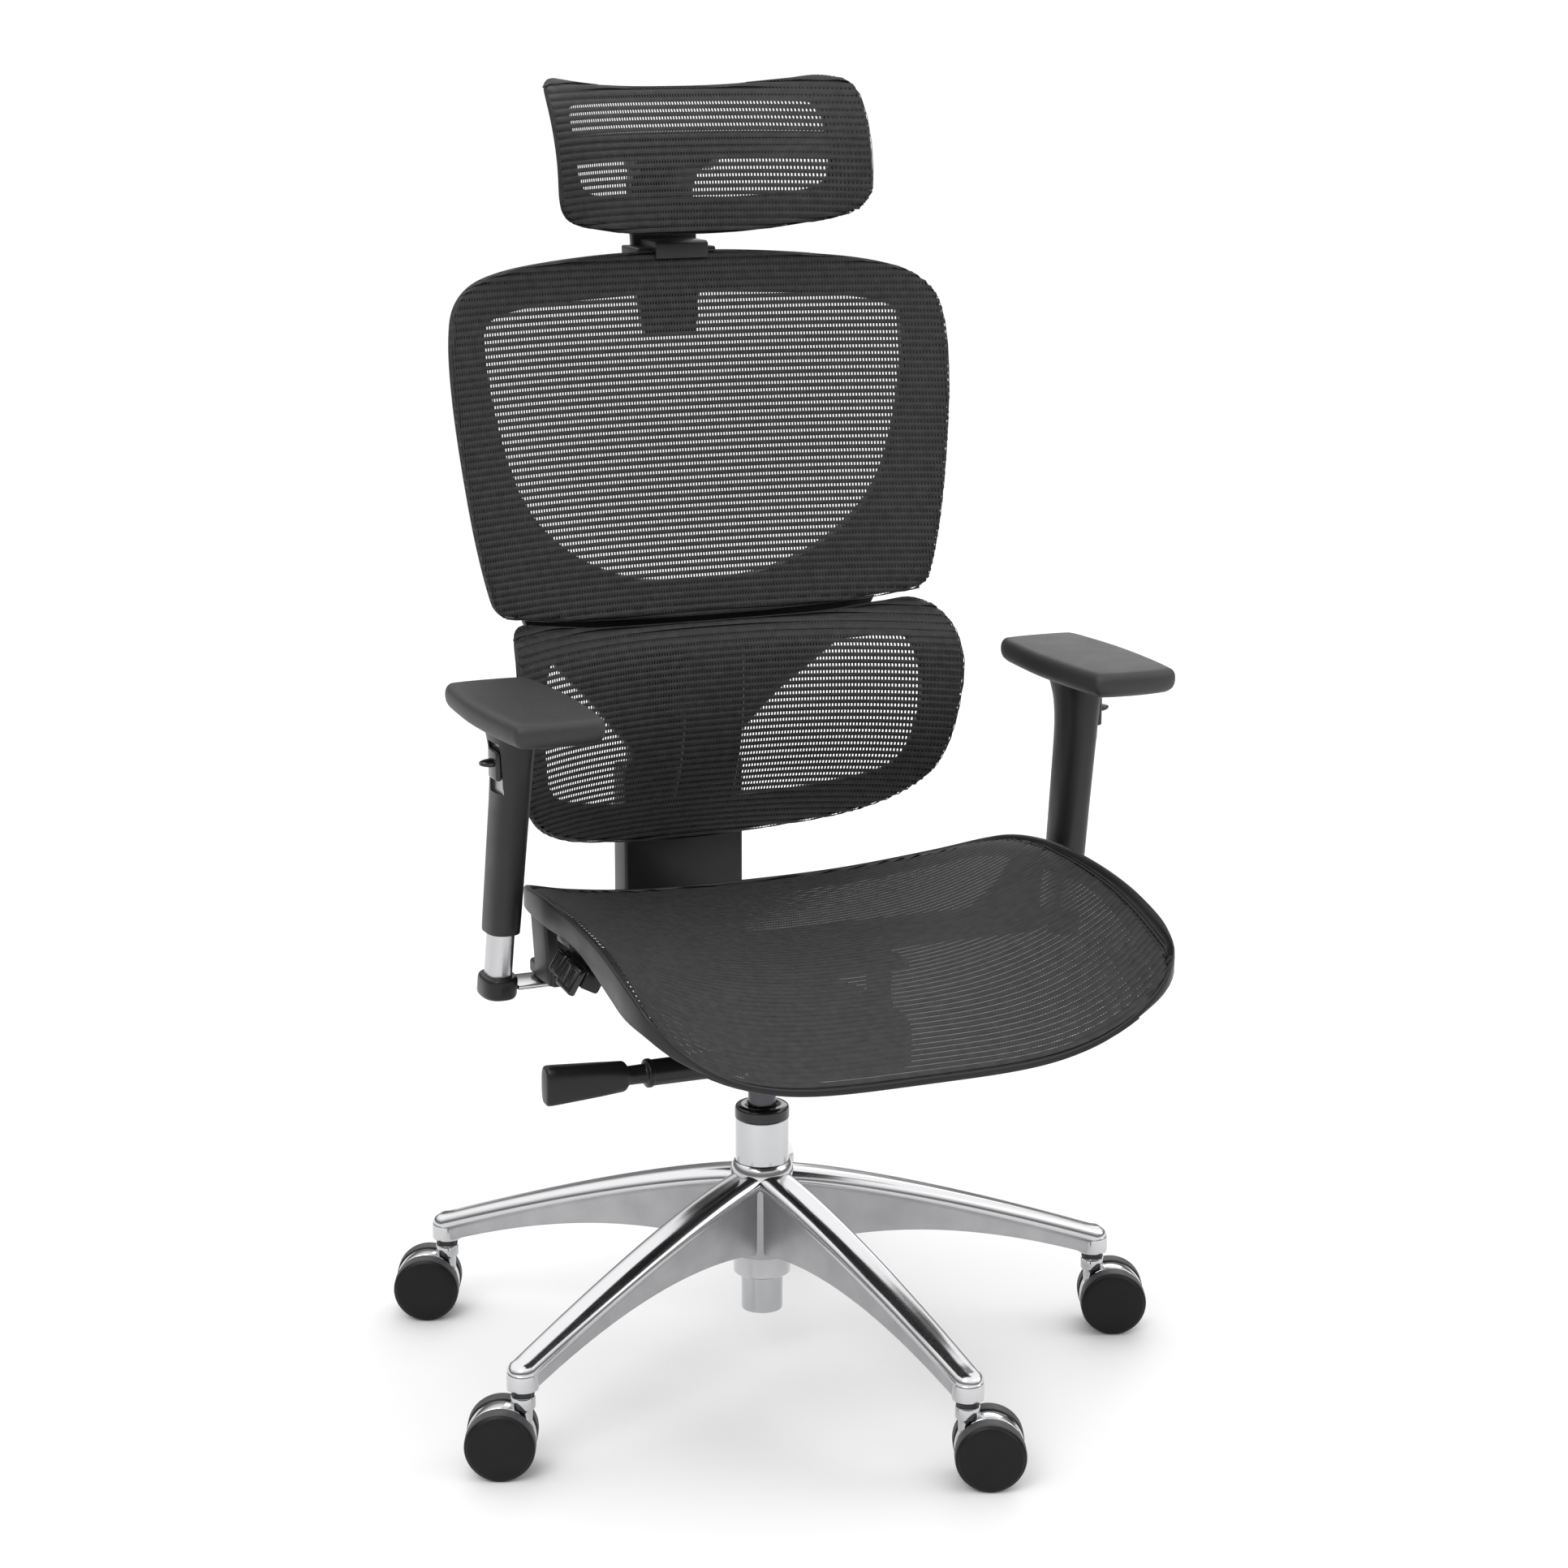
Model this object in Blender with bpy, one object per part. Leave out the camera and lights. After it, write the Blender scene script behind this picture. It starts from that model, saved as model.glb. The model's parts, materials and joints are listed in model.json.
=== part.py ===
"""Swivel office chair with a mesh seat, a two-part mesh back, a headrest and height-adjustable arms.

Metres, +Z up, the chair faces -Y, and the sitter's left is +X. The origin is on the floor at the centre
of the chair's box. All lengths below are measured from the swivel axis, which stands at AXIS.
"""

import math

import bmesh
import bpy
import numpy as np
from mathutils import Matrix, Vector

for old in list(bpy.data.objects):
    bpy.data.objects.remove(old)

# Driving dimensions
AXIS = Vector((-0.0164, 0.0213, 0.0))  # the swivel axis, seen from the centre of the chair's box
GAP = 0.0003  # between pieces that touch

BASE_ARMS = 5
BASE_RADIUS = 0.315  # swivel axis to castor stem
BASE_TURN = math.radians(-26.3)  # how far the base is turned under the seat
HUB_TOP, HUB_BOTTOM, SLEEVE_BOTTOM = 0.190, 0.104, 0.085
HUB_RADIUS, SLEEVE_RADIUS = 0.0285, 0.0255
BOSS_RADIUS, BOSS_BOTTOM, BOSS_TOP = 0.0135, 0.073, 0.096
RIDGE_HUB, RIDGE_TIP = 0.184, 0.098  # height of the top of an arm

TUBE_BOTTOM, TUBE_TOP, TUBE_RADIUS, TUBE_FOOT_RADIUS = 0.050, 0.230, 0.0238, 0.0185
TUBE_BORE = 0.0165
LIFT_RADIUS, LIFT_BOTTOM, LIFT_TOP = 0.0125, 0.115, 0.350
ROD_RADIUS, ROD_TOP = 0.0050, 0.285

WHEEL_RADIUS, WHEEL_INNER, WHEEL_OUTER = 0.030, 0.0085, 0.0275
CASTOR_TRAIL = 0.0185
CASTOR_HEADING = math.radians(-23)  # direction in which the castors on the +X side trail
STEM_RADIUS = 0.0055
AXLE_RADIUS = 0.0030

TILT_AXIS = Vector((0.0, 0.045, 0.332))  # back recline
SEAT_AXIS = Vector((0.0, -0.100, 0.357))  # seat tilt
PIVOT_RADIUS = 0.0060
HANDLE_AXIS = Vector((0.0, -0.163, 0.340))

SEAT_REAR, SEAT_FRONT, SEAT_HALF = 0.062, -0.339, 0.241
RIM_WIDTH = 0.013
BEAM_BOTTOM, BEAM_TOP = 0.398, 0.411

POST_FRONT, POST_BACK, POST_HALF = 0.183, 0.213, 0.0585
POST_SPLIT, POST_TOP = 0.445, 0.515
CARRIER_HALF, CARRIER_THICK = 0.0500, 0.0195

ARM_LEAN = Vector((-0.022, -0.173, 1.0))  # direction of the left arm post, per metre of height
ARM_FOOT = Vector((0.265, -0.0544, 0.388))  # bottom of its axis
SLEEVE_LOW, SLEEVE_HIGH = 0.451, 0.6292
SLOT_LOW, SLOT_HIGH, SLOT_FLOOR = 0.5715, 0.6140, 0.2727
PAD_TOP, PAD_THICK, PAD_X = 0.652, 0.0225, 0.257

PIN_HEIGHT, PIN_RADIUS, PIN_AT = 0.590, 0.0050, (-0.014, 0.014)  # the lumbar pad's guide pins
HEAD_AXIS = Vector((0.0, 0.212, 1.060))
STALK_LEAN, STALK_HALF, STALK_THICK = 0.17, 0.031, 0.009
STALK_LOW, STALK_LOW_Y = 0.905, 0.209

# Half outlines, from the middle of the top to the middle of the bottom: (x, z)
BACK_OUTLINE = [
    (0, 0.985), (0.06, 0.984), (0.12, 0.980), (0.172, 0.973), (0.207, 0.963), (0.227, 0.944),
    (0.234, 0.915),
    (0.235, 0.875), (0.231, 0.82), (0.222, 0.75), (0.211, 0.695), (0.203, 0.677), (0.185, 0.670),
    (0.12, 0.662), (0, 0.659),
]
BACK_WINDOW = [
    (0, 0.947), (0.105, 0.944), (0.165, 0.939), (0.192, 0.931), (0.199, 0.913), (0.195, 0.863),
    (0.182, 0.805),
    (0.163, 0.763), (0.135, 0.733), (0.10, 0.711), (0.055, 0.696), (0, 0.692),
]
LUMBAR_OUTLINE = [
    (0, 0.6565), (0.10, 0.6585), (0.160, 0.6645), (0.190, 0.6675), (0.205, 0.655), (0.211, 0.62),
    (0.208, 0.58),
    (0.200, 0.53), (0.186, 0.502), (0.160, 0.479), (0.120, 0.462), (0.06, 0.4515), (0, 0.448),
]
LUMBAR_WINDOW = [
    (0.032, 0.632), (0.10, 0.636), (0.155, 0.641), (0.172, 0.636), (0.180, 0.600), (0.177, 0.56),
    (0.168, 0.527), (0.145, 0.510), (0.09, 0.496), (0.036, 0.491), (0.030, 0.497), (0.029, 0.56),
    (0.028, 0.625),
]
HEAD_OUTLINE = [
    (0, 1.127), (0.05, 1.128), (0.098, 1.132), (0.125, 1.135), (0.140, 1.131), (0.146, 1.118),
    (0.146, 1.06),
    (0.145, 1.035), (0.138, 1.021), (0.122, 1.012), (0.09, 1.005), (0.05, 0.9995), (0, 0.998),
]
YOKE_OUTLINE = [
    (0, 0.685), (0.10, 0.6855), (0.158, 0.689), (0.169, 0.683), (0.170, 0.668), (0.160, 0.650),
    (0.125, 0.610),
    (0.092, 0.578), (0.066, 0.548), (0.053, 0.533), (CARRIER_HALF, 0.518), (CARRIER_HALF, 0.47),
    (CARRIER_HALF, POST_SPLIT + GAP), (0.025, POST_SPLIT + GAP), (0, POST_SPLIT + GAP),
]
# Half plan of the seat, from the middle of the rear to the middle of the front: (x, y)
SEAT_OUTLINE = [
    (0, SEAT_REAR), (0.07, 0.057), (0.14, 0.040), (0.19, 0.015), (0.219, -0.008), (0.233, -0.036),
    (0.239, -0.09), (SEAT_HALF, -0.17), (SEAT_HALF, -0.25), (0.239, -0.297), (0.230, -0.323),
    (0.202, -0.335), (0.13, -0.3385), (0, SEAT_FRONT),
]
# Plan of the left arm pad, from its rear to its front, relative to the pad's own middle line: (x, y)
PAD_OUTLINE = [
    (0, -0.013), (0.026, -0.0145), (0.037, -0.021), (0.0415, -0.050), (0.0445, -0.095), (0.0435, -0.145),
    (0.0395, -0.190), (0.033, -0.2035), (0, -0.208),
]


# Materials

def material(name, colour, roughness, metallic=0.0):
    made = bpy.data.materials.new(name)
    made.use_nodes = True
    shader = made.node_tree.nodes["Principled BSDF"]
    shader.inputs["Base Color"].default_value = (*colour, 1.0)
    shader.inputs["Roughness"].default_value = roughness
    shader.inputs["Metallic"].default_value = metallic
    made.diffuse_color = (*colour, 1.0)
    return made


# Outlines and surfaces

def spline(points, count, closed):
    """count points along a Catmull-Rom curve through the given ones."""
    p = np.array(points, float)
    n = len(p)
    spans = n if closed else n - 1
    out = []
    for k in range(count):
        t = k * spans / (count if closed else count - 1)
        i = min(int(t), spans - 1)
        f = t - i
        if closed:
            a, b, c, d = (p[(i + j) % n] for j in (-1, 0, 1, 2))
        else:
            a, b, c, d = (p[min(max(i + j, 0), n - 1)] for j in (-1, 0, 1, 2))
        out.append(
            0.5 * (2 * b + (c - a) * f + (2 * a - 5 * b + 4 * c - d) * f**2 + (3 * b - a - 3 * c + d) * f**3)
        )
    return out


def mirrored(half):
    """A closed outline from the half of it on the +X side."""
    return list(half) + [(-x, v) for x, v in reversed(half) if x > 1e-9]


def around(half, count):
    """count points, evenly spaced, on the closed smooth outline with this half."""
    fine = np.array(spline(mirrored(half), 12 * count, True))
    steps = np.linalg.norm(np.roll(fine, -1, 0) - fine, axis=1)
    along = np.concatenate([[0], np.cumsum(steps)])
    fine = np.vstack([fine, fine[:1]])
    at = np.arange(count) * along[-1] / count
    return [(np.interp(s, along, fine[:, 0]), np.interp(s, along, fine[:, 1])) for s in at]


def inset(outline, distance):
    """The closed outline moved inwards."""
    p = np.array(outline)
    along = np.roll(p, -1, 0) - np.roll(p, 1, 0)
    normal = np.stack([-along[:, 1], along[:, 0]], 1) / np.linalg.norm(along, axis=1)[:, None]
    turn = np.sign((p[:, 0] * np.roll(p[:, 1], -1) - np.roll(p[:, 0], -1) * p[:, 1]).sum())
    return [tuple(v) for v in p + normal * turn * distance]


def ease(t):
    t = min(max(t, 0.0), 1.0)
    return t * t * (3 - 2 * t)


def back_y(x, z):
    """The front of the upper back: it leans back and wraps forward at its sides."""
    return 0.136 + 0.17 * (z - 0.68) - 0.05 * (abs(x) / 0.234) ** 2.4


def lumbar_y(x, z):
    """The front of the lumbar pad: it bulges forward and wraps round the sitter."""
    t = z - 0.595
    bulge = 0.058 * (t / 0.145) ** 2 if t < 0 else 0.024 * (t / 0.067) ** 4
    return 0.106 + bulge - 0.075 * (abs(x) / 0.21) ** 2.4


def head_y(x, z):
    """The front of the headrest: a trough across, rolled back at its top."""
    t = max(z - 1.0, 0.0) / 0.128
    return 0.160 + 0.055 * t**2.6 - (0.065 + 0.02 * t) * (abs(x) / 0.146) ** 2.5


def yoke_y(x, z):
    """The front of the back carrier: straight in its channel, then curving forward to the upper back."""
    rise = ease((z - 0.53) / 0.12)
    return POST_FRONT - 0.021 * rise - 0.025 * rise * (abs(x) / 0.16) ** 2


def seat_z(x, y):
    """The top of the seat: dished across, falling at the front edge."""
    middle = np.interp(
        y,
        [-0.34, -0.31, -0.28, -0.24, -0.18, -0.10, 0.0, 0.07],
        [0.366, 0.378, 0.390, 0.404, 0.419, 0.427, 0.432, 0.434],
    )
    edge = np.interp(
        y,
        [-0.34, -0.32, -0.30, -0.27, -0.24, -0.20, -0.15, -0.10, -0.01, 0.07],
        [0.444, 0.450, 0.457, 0.466, 0.473, 0.479, 0.483, 0.484, 0.479, 0.476],
    )
    power = 2.4 + 1.6 * ease((-0.2 - y) / 0.13)
    return middle + (edge - middle) * (abs(x) / SEAT_HALF) ** power


def rim_depth(x, y):
    """How deep the seat's rim is: thin along the front, deepest on the flanks near the front corners."""
    side = ease((abs(x) - 0.185) / 0.045)
    flank = np.interp(
        y,
        [-0.34, -0.31, -0.26, -0.20, -0.15, -0.10, -0.04, 0.0],
        [0.006, 0.022, 0.024, 0.017, 0.013, 0.012, 0.008, 0.003],
    )
    return 0.0085 + 0.0065 * ease((y + 0.20) / 0.1) + side * flank


# Shapes

def solid(bm):
    """A helper object with this mesh, its faces pointing out."""
    bmesh.ops.remove_doubles(bm, verts=bm.verts, dist=1e-6)
    bmesh.ops.recalc_face_normals(bm, faces=bm.faces)
    mesh = bpy.data.meshes.new("shape")
    bm.to_mesh(mesh)
    bm.free()
    made = bpy.data.objects.new("shape", mesh)
    bpy.context.scene.collection.objects.link(made)
    return made


def loft(rings, closed=False):
    """A skin over rings with the same number of points: capped at its ends, or joined in a loop."""
    bm = bmesh.new()
    rows = [[bm.verts.new(p) for p in ring] for ring in rings]
    count = len(rows[0])
    pairs = zip(rows, rows[1:] + rows[:1] if closed else rows[1:])
    for a, b in pairs:
        for i in range(count):
            bm.faces.new((a[i], a[(i + 1) % count], b[(i + 1) % count], b[i]))
    if not closed:
        bm.faces.new(rows[0])
        bm.faces.new(reversed(rows[-1]))
    return solid(bm)


def turned(profile, segments=24, flats=False):
    """A solid of revolution about Z from (radius, height) points. Off the axis it closes on itself.
    With flats the radii are those of the facets' middles."""
    grow = 1 / math.cos(math.pi / segments) if flats else 1.0
    bm = bmesh.new()
    rows = []
    for radius, height in profile:
        if radius == 0:
            rows.append([bm.verts.new((0, 0, height))] * segments)
            continue
        angles = [2 * math.pi * (i + 0.5) / segments for i in range(segments)]
        rows.append(
            [bm.verts.new((grow * radius * math.cos(a), grow * radius * math.sin(a), height)) for a in angles]
        )
    loops = profile[0][0] > 0
    for a, b in zip(rows, rows[1:] + rows[:1] if loops else rows[1:]):
        for i in range(segments):
            j = (i + 1) % segments
            corners = list(dict.fromkeys((a[i], a[j], b[j], b[i])))
            if len(corners) > 2:
                bm.faces.new(corners)
    return solid(bm)


def prism(outline, axis, low, high):
    """An outline in the plane across axis, pushed from low to high along it."""
    place = {
        "X": lambda u, v, w: (w, u, v),
        "Y": lambda u, v, w: (u, w, v),
        "Z": lambda u, v, w: (u, v, w),
    }[axis]
    return loft([[place(u, v, w) for u, v in outline] for w in (low, high)])


def box(low, high, bevel=0.0):
    outline = [(low[0], low[1]), (high[0], low[1]), (high[0], high[1]), (low[0], high[1])]
    made = prism(outline, "Z", low[2], high[2])
    if bevel:
        soften(made, bevel)
    return made


def rod(radius, start, end, segments=12):
    start, end = Vector(start), Vector(end)
    length = (end - start).length
    made = turned([(0, 0), (radius, 0), (radius, length), (0, length)], segments)
    turn = (end - start).to_track_quat("Z", "Y").to_matrix().to_4x4()
    made.data.transform(Matrix.Translation(start) @ turn)
    return made


def soften(made, width, segments=1):
    """Bevels every sharp edge."""
    bm = bmesh.new()
    bm.from_mesh(made.data)
    sharp = [e for e in bm.edges if e.calc_face_angle(0) > math.radians(35)]
    bmesh.ops.bevel(bm, geom=sharp, offset=width, segments=segments, affect="EDGES", clamp_overlap=True)
    bm.to_mesh(made.data)
    bm.free()


def combine(target, others, operation):
    """The EXACT Boolean of target with each of the others, which are used up."""
    for other in others:
        modifier = target.modifiers.new(operation, "BOOLEAN")
        modifier.operation = operation
        modifier.object = other
    graph = bpy.context.evaluated_depsgraph_get()
    mesh = bpy.data.meshes.new_from_object(target.evaluated_get(graph))
    target.modifiers.clear()
    target.data = mesh
    for other in others:
        bpy.data.objects.remove(other)
    return target


def sheet(outline, front, back, centre, shares=(1.0, 0.66, 0.3)):
    """A closed curved plate in the X-Z plane between the front and back surfaces, each a function of x, z."""
    bm = bmesh.new()
    cx, cz = centre

    def skin(surface):
        rows = []
        for share in shares:
            ring = [(cx + share * (x - cx), cz + share * (z - cz)) for x, z in outline]
            rows.append([bm.verts.new((x, surface(x, z), z)) for x, z in ring])
        middle = bm.verts.new((cx, surface(cx, cz), cz))
        for a, b in zip(rows, rows[1:]):
            for i in range(len(a)):
                j = (i + 1) % len(a)
                bm.faces.new((a[i], a[j], b[j], b[i]))
        for i in range(len(rows[-1])):
            bm.faces.new((rows[-1][i], rows[-1][(i + 1) % len(rows[-1])], middle))
        return rows[0]

    rim_front, rim_back = skin(front), skin(back)
    for i in range(len(rim_front)):
        j = (i + 1) % len(rim_front)
        bm.faces.new((rim_front[i], rim_back[i], rim_back[j], rim_front[j]))
    bmesh.ops.triangulate(bm, faces=bm.faces, quad_method="FIXED")
    return solid(bm)


def pushed(surface, distance):
    return lambda x, z: surface(x, z) + distance


def oval(width, depth, count=16, power=2.4):
    """A superellipse, in X and Y."""
    points = []
    for i in range(count):
        a = 2 * math.pi * (i + 0.5) / count
        c, s = math.cos(a), math.sin(a)
        points.append(
            (
                width / 2 * math.copysign(abs(c) ** (2 / power), c),
                depth / 2 * math.copysign(abs(s) ** (2 / power), s),
            )
        )
    return points


# Placing

def finish(made, name, look, origin=(0, 0, 0), parent=None):
    """Gives a shape its name, material and origin, and hangs it on its parent."""
    made.name = name
    made.data.name = name
    made.data.transform(Matrix.Translation(-Vector(origin)))
    made.location = origin
    made.parent = parent or CHAIR
    made.data.materials.clear()
    made.data.materials.append(look)
    made.data.shade_smooth()
    made.data.set_sharp_from_angle(angle=math.radians(35))
    return made


def empty(name, location=(0, 0, 0), turn=0.0, parent=None):
    made = bpy.data.objects.new(name, None)
    bpy.context.scene.collection.objects.link(made)
    made.location = location
    made.rotation_euler = (0, 0, turn)
    made.parent = parent
    return made


# Base and gas lift

def base_arm(angle):
    """One arm of the star: a broad rounded ridge on a web that is deepest at the hub."""
    rings = []
    for t in (0, 0.12, 0.25, 0.42, 0.65, 1.0):
        reach = 0.012 + (BASE_RADIUS - 0.012) * t
        top = RIDGE_HUB + (RIDGE_TIP - RIDGE_HUB) * t**1.3
        deep = 0.022 + 0.056 * (1 - t) ** 3.3
        wide = 0.036 - 0.011 * t**1.5
        half = [
            (0.28, 0.0), (0.44, 0.0028), (0.50, 0.0075), (0.50, 0.0115), (0.41, 0.0145), (0.37, deep),
        ]
        side = [(wide * u, top - d) for u, d in half]
        ring = side + [(-u, v) for u, v in reversed(side)]
        rings.append([(reach, u, v) for u, v in ring])
    made = loft(rings)
    made.data.transform(Matrix.Rotation(angle - math.pi / 2, 4, "Z"))
    return made


def arm_angles():
    """Where the arms point: 0 is the front, and they run anticlockwise seen from above."""
    return [BASE_TURN + math.radians(36 + 72 * i) for i in range(BASE_ARMS)]


def arm_tip(angle):
    return Vector((BASE_RADIUS * math.sin(angle), -BASE_RADIUS * math.cos(angle), 0))


def make_base():
    hub = turned(
        [
            (0, SLEEVE_BOTTOM),
            (SLEEVE_RADIUS, SLEEVE_BOTTOM),
            (SLEEVE_RADIUS, HUB_BOTTOM),
            (HUB_RADIUS, HUB_BOTTOM + 0.002),
            (HUB_RADIUS, 0.178),
            (SLEEVE_RADIUS, HUB_TOP),
            (0, HUB_TOP),
        ],
        24,
    )
    arms, bosses, bores = [], [], []
    for angle in arm_angles():
        arms.append(base_arm(angle))
        tip = Matrix.Translation(arm_tip(angle))
        boss = turned(
            [
                (0, BOSS_BOTTOM),
                (BOSS_RADIUS, BOSS_BOTTOM),
                (BOSS_RADIUS, BOSS_TOP - 0.006),
                (0.009, BOSS_TOP + 0.0015),
                (0, BOSS_TOP + 0.003),
            ],
            12,
        )
        boss.data.transform(tip)
        bosses.append(boss)
        bore = rod(STEM_RADIUS + GAP, (0, 0, BOSS_BOTTOM - 0.01), (0, 0, 0.091), 12)
        bore.data.transform(tip)
        bores.append(bore)
    star = combine(hub, arms + bosses, "UNION")
    core = turned(
        [
            (0, 0.05),
            (TUBE_FOOT_RADIUS + GAP, 0.05),
            (TUBE_FOOT_RADIUS + GAP, 0.075),
            (TUBE_RADIUS + GAP, 0.180),
            (TUBE_RADIUS + GAP, 0.3),
            (0, 0.3),
        ],
        24,
    )
    star = combine(star, [core] + bores, "DIFFERENCE")
    finish(star, "base_star", ALUMINIUM)


def make_lift():
    tube = turned(
        [
            (0.0056, TUBE_BOTTOM),
            (TUBE_FOOT_RADIUS - 0.0015, TUBE_BOTTOM),
            (TUBE_FOOT_RADIUS, TUBE_BOTTOM + 0.002),
            (TUBE_FOOT_RADIUS, 0.075),
            (TUBE_RADIUS, 0.180),
            (TUBE_RADIUS, TUBE_TOP),
            (TUBE_BORE, TUBE_TOP),
            (TUBE_BORE, 0.057),
            (0.0056, 0.057),
        ],
        24,
    )
    finish(tube, "lift_outer_tube", CHROME)
    bush = turned(
        [
            (LIFT_RADIUS + GAP, 0.160),
            (TUBE_BORE - GAP, 0.160),
            (TUBE_BORE - GAP, TUBE_TOP + GAP),
            (TUBE_RADIUS + 0.0005, TUBE_TOP + GAP),
            (TUBE_RADIUS + 0.0005, 0.239),
            (TUBE_RADIUS - 0.002, 0.242),
            (LIFT_RADIUS + GAP, 0.242),
        ],
        24,
    )
    finish(bush, "lift_guide_bush", BLACK)
    cylinder = turned(
        [
            (0, 0.325), (ROD_RADIUS + 0.0006, 0.325), (ROD_RADIUS + 0.0006, LIFT_BOTTOM),
            (LIFT_RADIUS, LIFT_BOTTOM),
            (LIFT_RADIUS, LIFT_TOP - 0.003), (LIFT_RADIUS - 0.002, LIFT_TOP), (0.004, LIFT_TOP),
            (0.004, LIFT_TOP + 0.004), (0, LIFT_TOP + 0.004),
        ],
        16,
    )
    finish(cylinder, "lift_cylinder", DARK_STEEL)
    piston = turned(
        [
            (0, 0.0455), (0.0050, 0.0455), (0.0050, 0.0655), (0.0088, 0.0658), (0.0088, 0.0685),
            (ROD_RADIUS, 0.0690), (ROD_RADIUS, ROD_TOP), (0, ROD_TOP),
        ],
        12,
    )
    finish(piston, "lift_piston_rod", STEEL)
    bearing = turned([(0.0056, 0.0573), (0.0140, 0.0573), (0.0140, 0.0652), (0.0056, 0.0652)], 12)
    finish(bearing, "lift_thrust_bearing", STEEL)


# Castors, in their own frame: the stem stands at the origin, the wheels trail along +X and turn about Y

def castor_meshes():
    stem = turned(
        [
            (0, 0.0395), (STEM_RADIUS, 0.0395), (STEM_RADIUS, 0.0681), (0.0100, 0.0681), (0.0100, 0.0727),
            (STEM_RADIUS, 0.0727), (STEM_RADIUS, 0.0905), (0, 0.0905),
        ],
        12,
    )
    fender = []
    for i in range(13):
        a = math.radians(-22 + 224 * i / 12)
        fender.append((CASTOR_TRAIL + 0.0293 * math.cos(a), WHEEL_RADIUS + 0.0293 * math.sin(a)))
    for i in range(3):
        a = math.radians(205 + 130 * i / 2)
        fender.append((CASTOR_TRAIL + 0.0125 * math.cos(a), WHEEL_RADIUS + 0.0125 * math.sin(a)))
    hood = prism(fender, "Y", -0.0075, 0.0075)
    housing = turned(
        [(0, 0.033), (0.0078, 0.033), (0.0078, 0.0545), (0.0105, 0.0575), (0.0105, 0.0678), (0, 0.0678)], 16
    )
    hood = combine(hood, [housing], "UNION")
    stem_bore = rod(STEM_RADIUS + GAP, (0, 0, 0.039), (0, 0, 0.08), 12)
    axle_bore = rod(
        AXLE_RADIUS + GAP, (CASTOR_TRAIL, -0.02, WHEEL_RADIUS), (CASTOR_TRAIL, 0.02, WHEEL_RADIUS), 8
    )
    hood = combine(hood, [stem_bore, axle_bore], "DIFFERENCE")
    axle = rod(AXLE_RADIUS, (0, -0.0215, 0), (0, 0.0215, 0), 8)
    wheel = turned(
        [
            (0, 0.0222), (AXLE_RADIUS + GAP, 0.0222), (AXLE_RADIUS + GAP, WHEEL_INNER),
            (0.027, WHEEL_INNER),
            (WHEEL_RADIUS, 0.0105), (WHEEL_RADIUS, 0.0240), (0.0280, 0.0265), (0, WHEEL_OUTER),
        ],
        20, flats=True,
    )
    wheel.data.transform(Matrix.Rotation(-math.pi / 2, 4, "X"))
    shapes = {"stem": stem, "hood": hood, "axle": axle, "wheel": wheel}
    meshes = {name: made.data for name, made in shapes.items()}
    for made in shapes.values():
        bpy.data.objects.remove(made)
    return meshes


def castor_turn(tip):
    """The castors on each side of the chair trail outwards."""
    return CASTOR_HEADING + (0 if tip.x > 0 else math.pi)


def make_castors():
    meshes = castor_meshes()
    looks = {"stem": STEEL, "hood": CHROME, "axle": STEEL, "wheel": TYRE}
    for name, mesh in meshes.items():
        mesh.name = "castor_" + name
        mesh.materials.append(looks[name])
        mesh.shade_smooth()
        mesh.set_sharp_from_angle(angle=math.radians(35))
    axle_at = (CASTOR_TRAIL, 0, WHEEL_RADIUS)
    for number, angle in enumerate(arm_angles(), 1):
        tip = arm_tip(angle)
        frame = empty(f"castor_{number}", tip, castor_turn(tip), CHAIR)
        pieces = (
            ("stem", "stem", (0, 0, 0), 0.0),
            ("hood", "hood", (0, 0, 0), 0.0),
            ("axle", "axle", axle_at, 0.0),
            ("wheel_a", "wheel", axle_at, 0.0),
            ("wheel_b", "wheel", axle_at, math.pi),
        )
        for piece, shape, place, turn in pieces:
            made = bpy.data.objects.new(f"castor_{number}_{piece}", meshes[shape])
            bpy.context.scene.collection.objects.link(made)
            made.location = place
            made.rotation_euler = (0, 0, turn)
            made.parent = frame


# Tilt mechanism

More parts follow.
